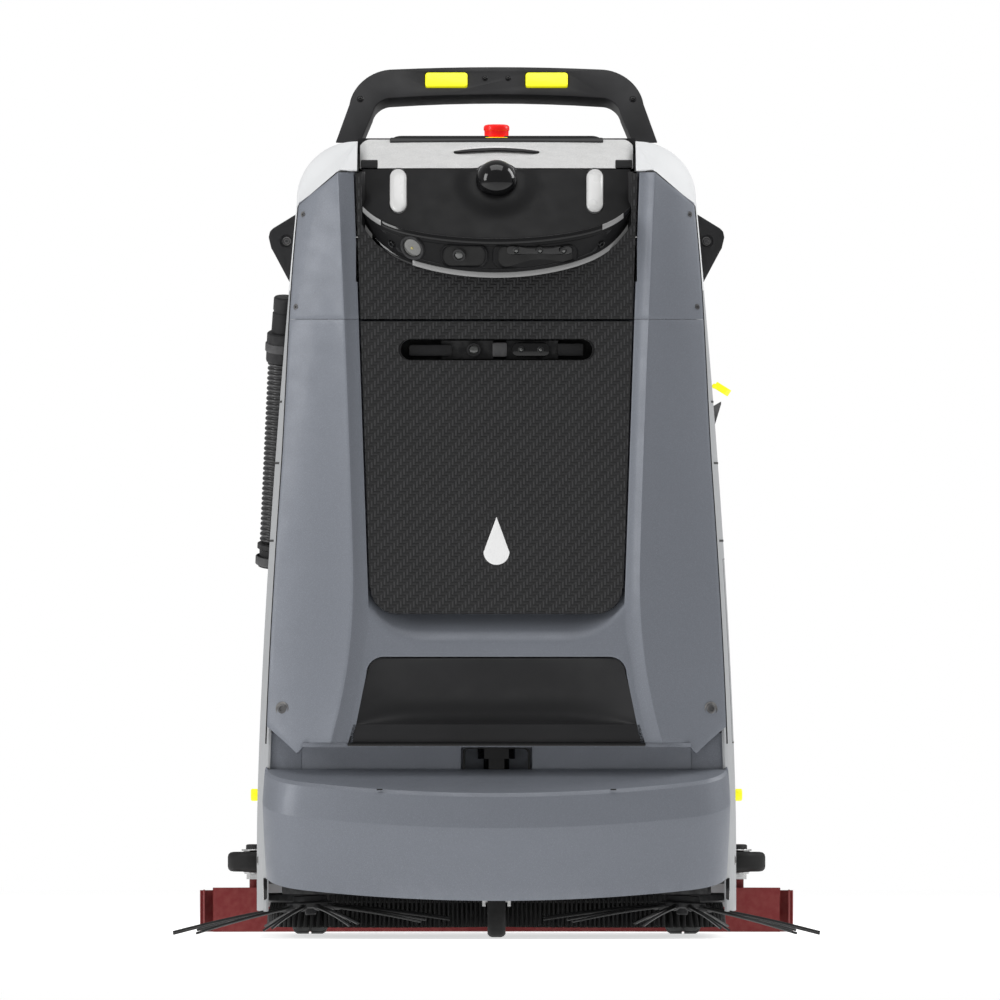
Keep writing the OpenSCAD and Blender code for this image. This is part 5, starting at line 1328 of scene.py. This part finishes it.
@both
def side_brush(s, tag):
    cx, cy, cz = 287, -450, 46
    M = at(cx, cy, cz) @ turned(3, "Y")
    parts = [lathe([(0, -10), (7, -10), (9, -8), (9, 0), (30, 0), (36, 2), (36, 8), (34, 10), (27, 11),
        (26, 19), (24, 20), (0, 20)], M, 40)]
    strands = []
    reach = 214 / cos(rad(3))
    for i in range(10):
        for j, (off, dh) in enumerate(((-1.6, 1.2), (1.6, -1.0))):
            a = rad(36 * i)
            spread = rad(off * 0.8)
            pts = []
            for q in range(9):
                u = q / 8
                r = 24 + (reach - 24.5) * u
                h = 4 - (cz - 15) * (0.92 * u + 0.08 * u * u) + dh * (0.4 + 0.8 * u) + 1.6 * sin(pi * u)
                aa = a + spread * u
                pts.append(tuple(M @ Vector((r * cos(aa) - off * 1.3 * sin(a),
                    r * sin(aa) + off * 1.3 * cos(a), h))))
            strands.append(tube(pts, lambda t: 2.5 - 0.6 * t, 8))
        a = rad(36 * i)
        m = M @ Matrix.Rotation(a, 4, "Z") @ at(26, 0, 3) @ turned(98, "Y")
        parts.append(lathe([(0, 0), (5.2, 0), (5.2, 16), (4.2, 20), (0, 20)], m, 12))
    hub, st = join(*parts), join(*strands)
    if s < 0:
        hub, st = flip(hub), flip(st)
    piece("side_brush_hub_" + tag, hub, BLACK, "side_brush_" + tag, rep=["side_brush_" + tag], sharp=28)
    piece("side_brush_strands_" + tag, st, NYLON, "side_brush_" + tag, sharp=60)


@both
def disc(s, tag):
    b0, b1 = lo("disc_brush_" + tag), hi("disc_brush_" + tag)
    cx, cy, _ = middle("disc_brush_" + tag)
    z0, z1, r = b0[2], b1[2], (b1[0] - b0[0]) / 2
    T = at(cx, cy, 0)
    piece("disc_plate_" + tag, hoop([(112, z0 + 38), (r - 6, z0 + 38), (r, z0 + 41), (r, z0 + 50),
        (r - 3, z0 + 52), (70, z0 + 52), (64, z0 + 48), (44, z0 + 48), (40, z0 + 52), (40, z1), (14, z1),
        (14, z0 + 44), (112, z0 + 44)], T, 96), BLACK, "disc_" + tag, rep=["disc_brush_" + tag], sharp=28)
    tufts = []
    for ring_r, count in ((166, 84), (150, 70), (134, 60), (120, 52)):
        for i in range(count):
            a = 2 * pi * i / count + ring_r
            lean = 4.5 if ring_r > 150 else 1.5
            p0 = Vector((cx + ring_r * cos(a), cy + ring_r * sin(a), z0 + 39))
            p1 = Vector((cx + (ring_r + lean) * cos(a), cy + (ring_r + lean) * sin(a), z0 + 18))
            p2 = Vector((cx + (ring_r + lean + random.uniform(-1, 2)) * cos(a), cy + (ring_r + lean) * sin(a),
                z0))
            tufts.append(tube([p0, p1, p2], lambda t: 3.0 + 1.5 * t, 7))
    piece("disc_bristles_" + tag, join(*tufts), NYLON, "disc_" + tag, sharp=50)


skirt_y = lo("brush_deck")[1]
rib = []
for i in range(74):
    x = mix(-258, 258, i / 73)
    rib.append(tube([(x, skirt_y - 3, 84), (x, skirt_y - 5, 56),
        (x + random.uniform(-0.6, 0.6), skirt_y - 5.5, 16)], 2.3, 7))
piece("deck_skirt_bristles", join(*rib), NYLON, "deck", sharp=50)
piece("deck_skirt_holder", prism(rounded(0, 86, 530, 14, 2, 3), through, skirt_y - 8, skirt_y - 0.4), BLACK,
    "deck", bevel=0.8)

# ---------- wheels ----------


@both
def drive_wheel(s, tag):
    b0, b1 = lo("drive_wheel_" + tag), hi("drive_wheel_" + tag)
    r, h = (b1[2] - b0[2]) / 2, (b1[0] - b0[0]) / 2
    m = aim(*middle("drive_wheel_" + tag), (s, 0, 0))
    tread = hoop([(r - 26, -h), (r - 9, -h), (r - 3, -h + 3), (r, -h + 8), (r, -2), (r - 4, -1.5),
        (r - 4, 1.5), (r, 2), (r, h - 8), (r - 3, h - 3), (r - 9, h), (r - 26, h)], m, 144,
        mod=lambda i, z: 0.972 if i % 6 == 0 and abs(z) > 1.8 and abs(z) < h - 2 else 1)
    piece("drive_tyre_" + tag, tread, TYRE, "drive_wheel_" + tag, rep=["drive_wheel_" + tag], sharp=30)
    hub = [hoop([(14.5, -h + 6), (r - 26.2, -h + 6), (r - 26.2, h - 4), (r - 32, h - 5), (r - 40, h - 12),
        (34, h - 12), (28, h - 5), (14.5, h - 5)], m, 64)]
    for i in range(5):
        a = 2 * pi * i / 5
        mm = m @ at(44 * cos(a), 44 * sin(a), h - 12)
        hub.append(lathe([(0, 0), (6, 0), (6, 4), (5, 5), (0, 5)], mm, 6))
    piece("drive_hub_" + tag, join(*hub), ALU, "drive_wheel_" + tag, sharp=28)


b0, b1 = lo("caster_wheel"), hi("caster_wheel")
cm = aim(0, *middle("caster_wheel")[1:], (1, 0, 0))
r, h = (b1[2] - b0[2]) / 2, (b1[0] - b0[0]) / 2
piece("caster_tyre", hoop([(r - 16, -h), (r - 5, -h), (r - 1.5, -h + 3), (r, -h + 7), (r, h - 7),
    (r - 1.5, h - 3), (r - 5, h), (r - 16, h)], cm, 96), TYRE, "caster_wheel", rep=["caster_wheel"])
piece("caster_rim", hoop([(6.5, -h), (14, -h), (16, -h + 3), (r - 20, -h + 5), (r - 16.2, -h + 1),
    (r - 16.2, h - 1), (r - 20, h - 5), (16, h - 3), (14, h), (6.5, h)], cm, 64), ALU, "caster_wheel",
    sharp=30)

# ---------- squeegee ----------


@both
def roller(s, tag):
    b0, b1 = lo("wall_roller_" + tag), hi("wall_roller_" + tag)
    T = at(*middle("wall_roller_" + tag)[:2], 0)
    z0, z1, r = b0[2], b1[2], (b1[0] - b0[0]) / 2
    piece("roller_" + tag, hoop([(7.6, z0), (16, z0), (17, z0 + 1), (r - 9, z0 + 1), (r - 4, z0 + 2),
        (r - 1, z0 + 5), (r, z0 + 9), (r, z1 - 9), (r - 1, z1 - 5), (r - 4, z1 - 2), (r - 9, z1 - 1),
        (17, z1 - 1), (16, z1), (7.6, z1)], T, 72), TYRE, "roller_" + tag, rep=["wall_roller_" + tag],
        sharp=34)
    piece("roller_bolt_" + tag, hoop([(7.1, z1 + 3.2), (12.5, z1 + 3.2), (12.5, z1 + 9), (11, z1 + 10.5),
        (7.1, z1 + 11)], T, 24), BLACK, "squeegee", sharp=28)
    stack = [hoop([(7.2, z1 + 0.6), (19, z1 + 0.6), (19.5, z1 + 1.2), (19.5, z1 + 2.4), (19, z1 + 3),
        (7.2, z1 + 3)], T, 40), hoop([(7.1, z0 - 2.6), (15, z0 - 2.6), (15, z0 - 0.6), (7.1, z0 - 0.6)], T,
        40), hoop([(7.1, z0 - 11), (11.5, z0 - 11), (11.5, z0 - 3), (7.1, z0 - 3)], T, 6)]
    piece("roller_nuts_" + tag, join(*stack), ZINC, "squeegee", sharp=28)


SQB = hi("squeegee_head")[1]
SQR = (464.5 ** 2 + 75 ** 2) / 150


def sq_y(x, r):
    return SQB - SQR + math.sqrt(r * r - x * x)


def strip_pt(x, k, t):
    """Section of the clamping strip on the squeegee's rear."""
    return x, sq_y(x, SQR + 0.3 + (0 if t else (1.2, 2, 2, 1.2)[k])), (43.5, 45, 60, 61.5)[k]


piece("squeegee_strip_rear", slab(strip_pt, steps(-440, 440, 90), range(4), 1), ZINC, "squeegee", bevel=0.4)
bolt = [(0, 0), (8, 0), (8, 4.5), (6.6, 6), (0, 6)]
piece("squeegee_bolts_rear", join(*[lathe(bolt, aim(x, sq_y(x, SQR + 2.3), 52, (x, SQR, 0)), 6)
    for x in range(-400, 401, 100)]), ZINC, "squeegee", sharp=28)
END_RUBBER = make("squeegee_end_rubber", (0.21, 0.037, 0.035), 0.5, grain=260, depth=0.08, tint=0.08)


@both
def squeegee_end(s, tag):
    x = s * 455.5
    mid_y = (sq_y(x, SQR - 36) + sq_y(x, SQR)) / 2 - 1
    piece("squeegee_end_" + tag, prism(rounded(mid_y, 34, 40, 64, 2, 3), lambda a, b, d: (x + s * d, a, b),
        1.0, 4.0), END_RUBBER, "squeegee", bevel=1)


piece("squeegee_knobs", join(*[lathe([(0, 60), (16, 60), (18, 64), (18, 82), (16, 86), (6, 87), (0, 87)],
    at(x, sq_y(x, SQR - 19), 8), 48, mod=lambda i, h: 0.93 if i % 6 < 2 and h > 62 else 1)
    for x in (-150, 150)]), BLACK, "squeegee", sharp=30)

# ---------- floor, light, camera ----------

fl = bpy.data.meshes.new("studio_floor")
fl.from_pydata([(8 * cos(2 * pi * i / 96), 8 * sin(2 * pi * i / 96), -0.0005) for i in range(96)], [],
    [tuple(range(96))])
floor = bpy.data.objects.new("studio_floor", fl)
scene.collection.objects.link(floor)
fl.materials.append(make("studio_white", (0.93, 0.93, 0.93), 0.9, grain=40, depth=0.01, tint=0.005, spec=0.1,
    emit=0.68))

world = bpy.data.worlds.new("studio")
scene.world = world
world.use_nodes = True
bg = world.node_tree.nodes["Background"]
bg.inputs["Color"].default_value = (1, 1, 1, 1)
seen = shader(world.node_tree, "LightPath", {}).outputs["Is Camera Ray"]
level = shader(world.node_tree, "MapRange", {"To Min": 0.36, "To Max": 1.0, "Value": seen})
world.node_tree.links.new(level.outputs["Result"], bg.inputs["Strength"])
scene.view_settings.view_transform = "Standard"
scene.view_settings.look = "None"


def area(name, spot, to, size, power):
    d = bpy.data.lights.new(name, "AREA")
    d.shape = "RECTANGLE"
    d.size, d.size_y = size
    d.energy = power
    o = bpy.data.objects.new(name, d)
    scene.collection.objects.link(o)
    o.location = spot
    o.rotation_euler = (Vector(to) - Vector(spot)).to_track_quat("-Z", "Y").to_euler()


area("key_left", (-4.2, -2.2, 2.5), (0, -0.2, 0.6), (1.4, 2.6), 92)
area("rim_right", (2.8, 0.6, 2.6), (0, 0, 1.1), (1.2, 2.0), 50)
area("top_soft", (0, -0.8, 3.6), (0, -0.2, 0.5), (2.4, 1.6), 34)

SENSOR, FOCAL, VIEW_WIDTH = 36, 1600, 1.543
cam = bpy.data.cameras.new("camera")
cam.sensor_width = SENSOR
cam.lens = FOCAL
cam.clip_start = 0.5
cam.clip_end = 1000
co = bpy.data.objects.new("camera", cam)
scene.collection.objects.link(co)
co.location = (0.0054, -0.45 - VIEW_WIDTH * FOCAL / SENSOR, 0.676)
co.rotation_euler = (rad(90), 0, 0)
scene.camera = co
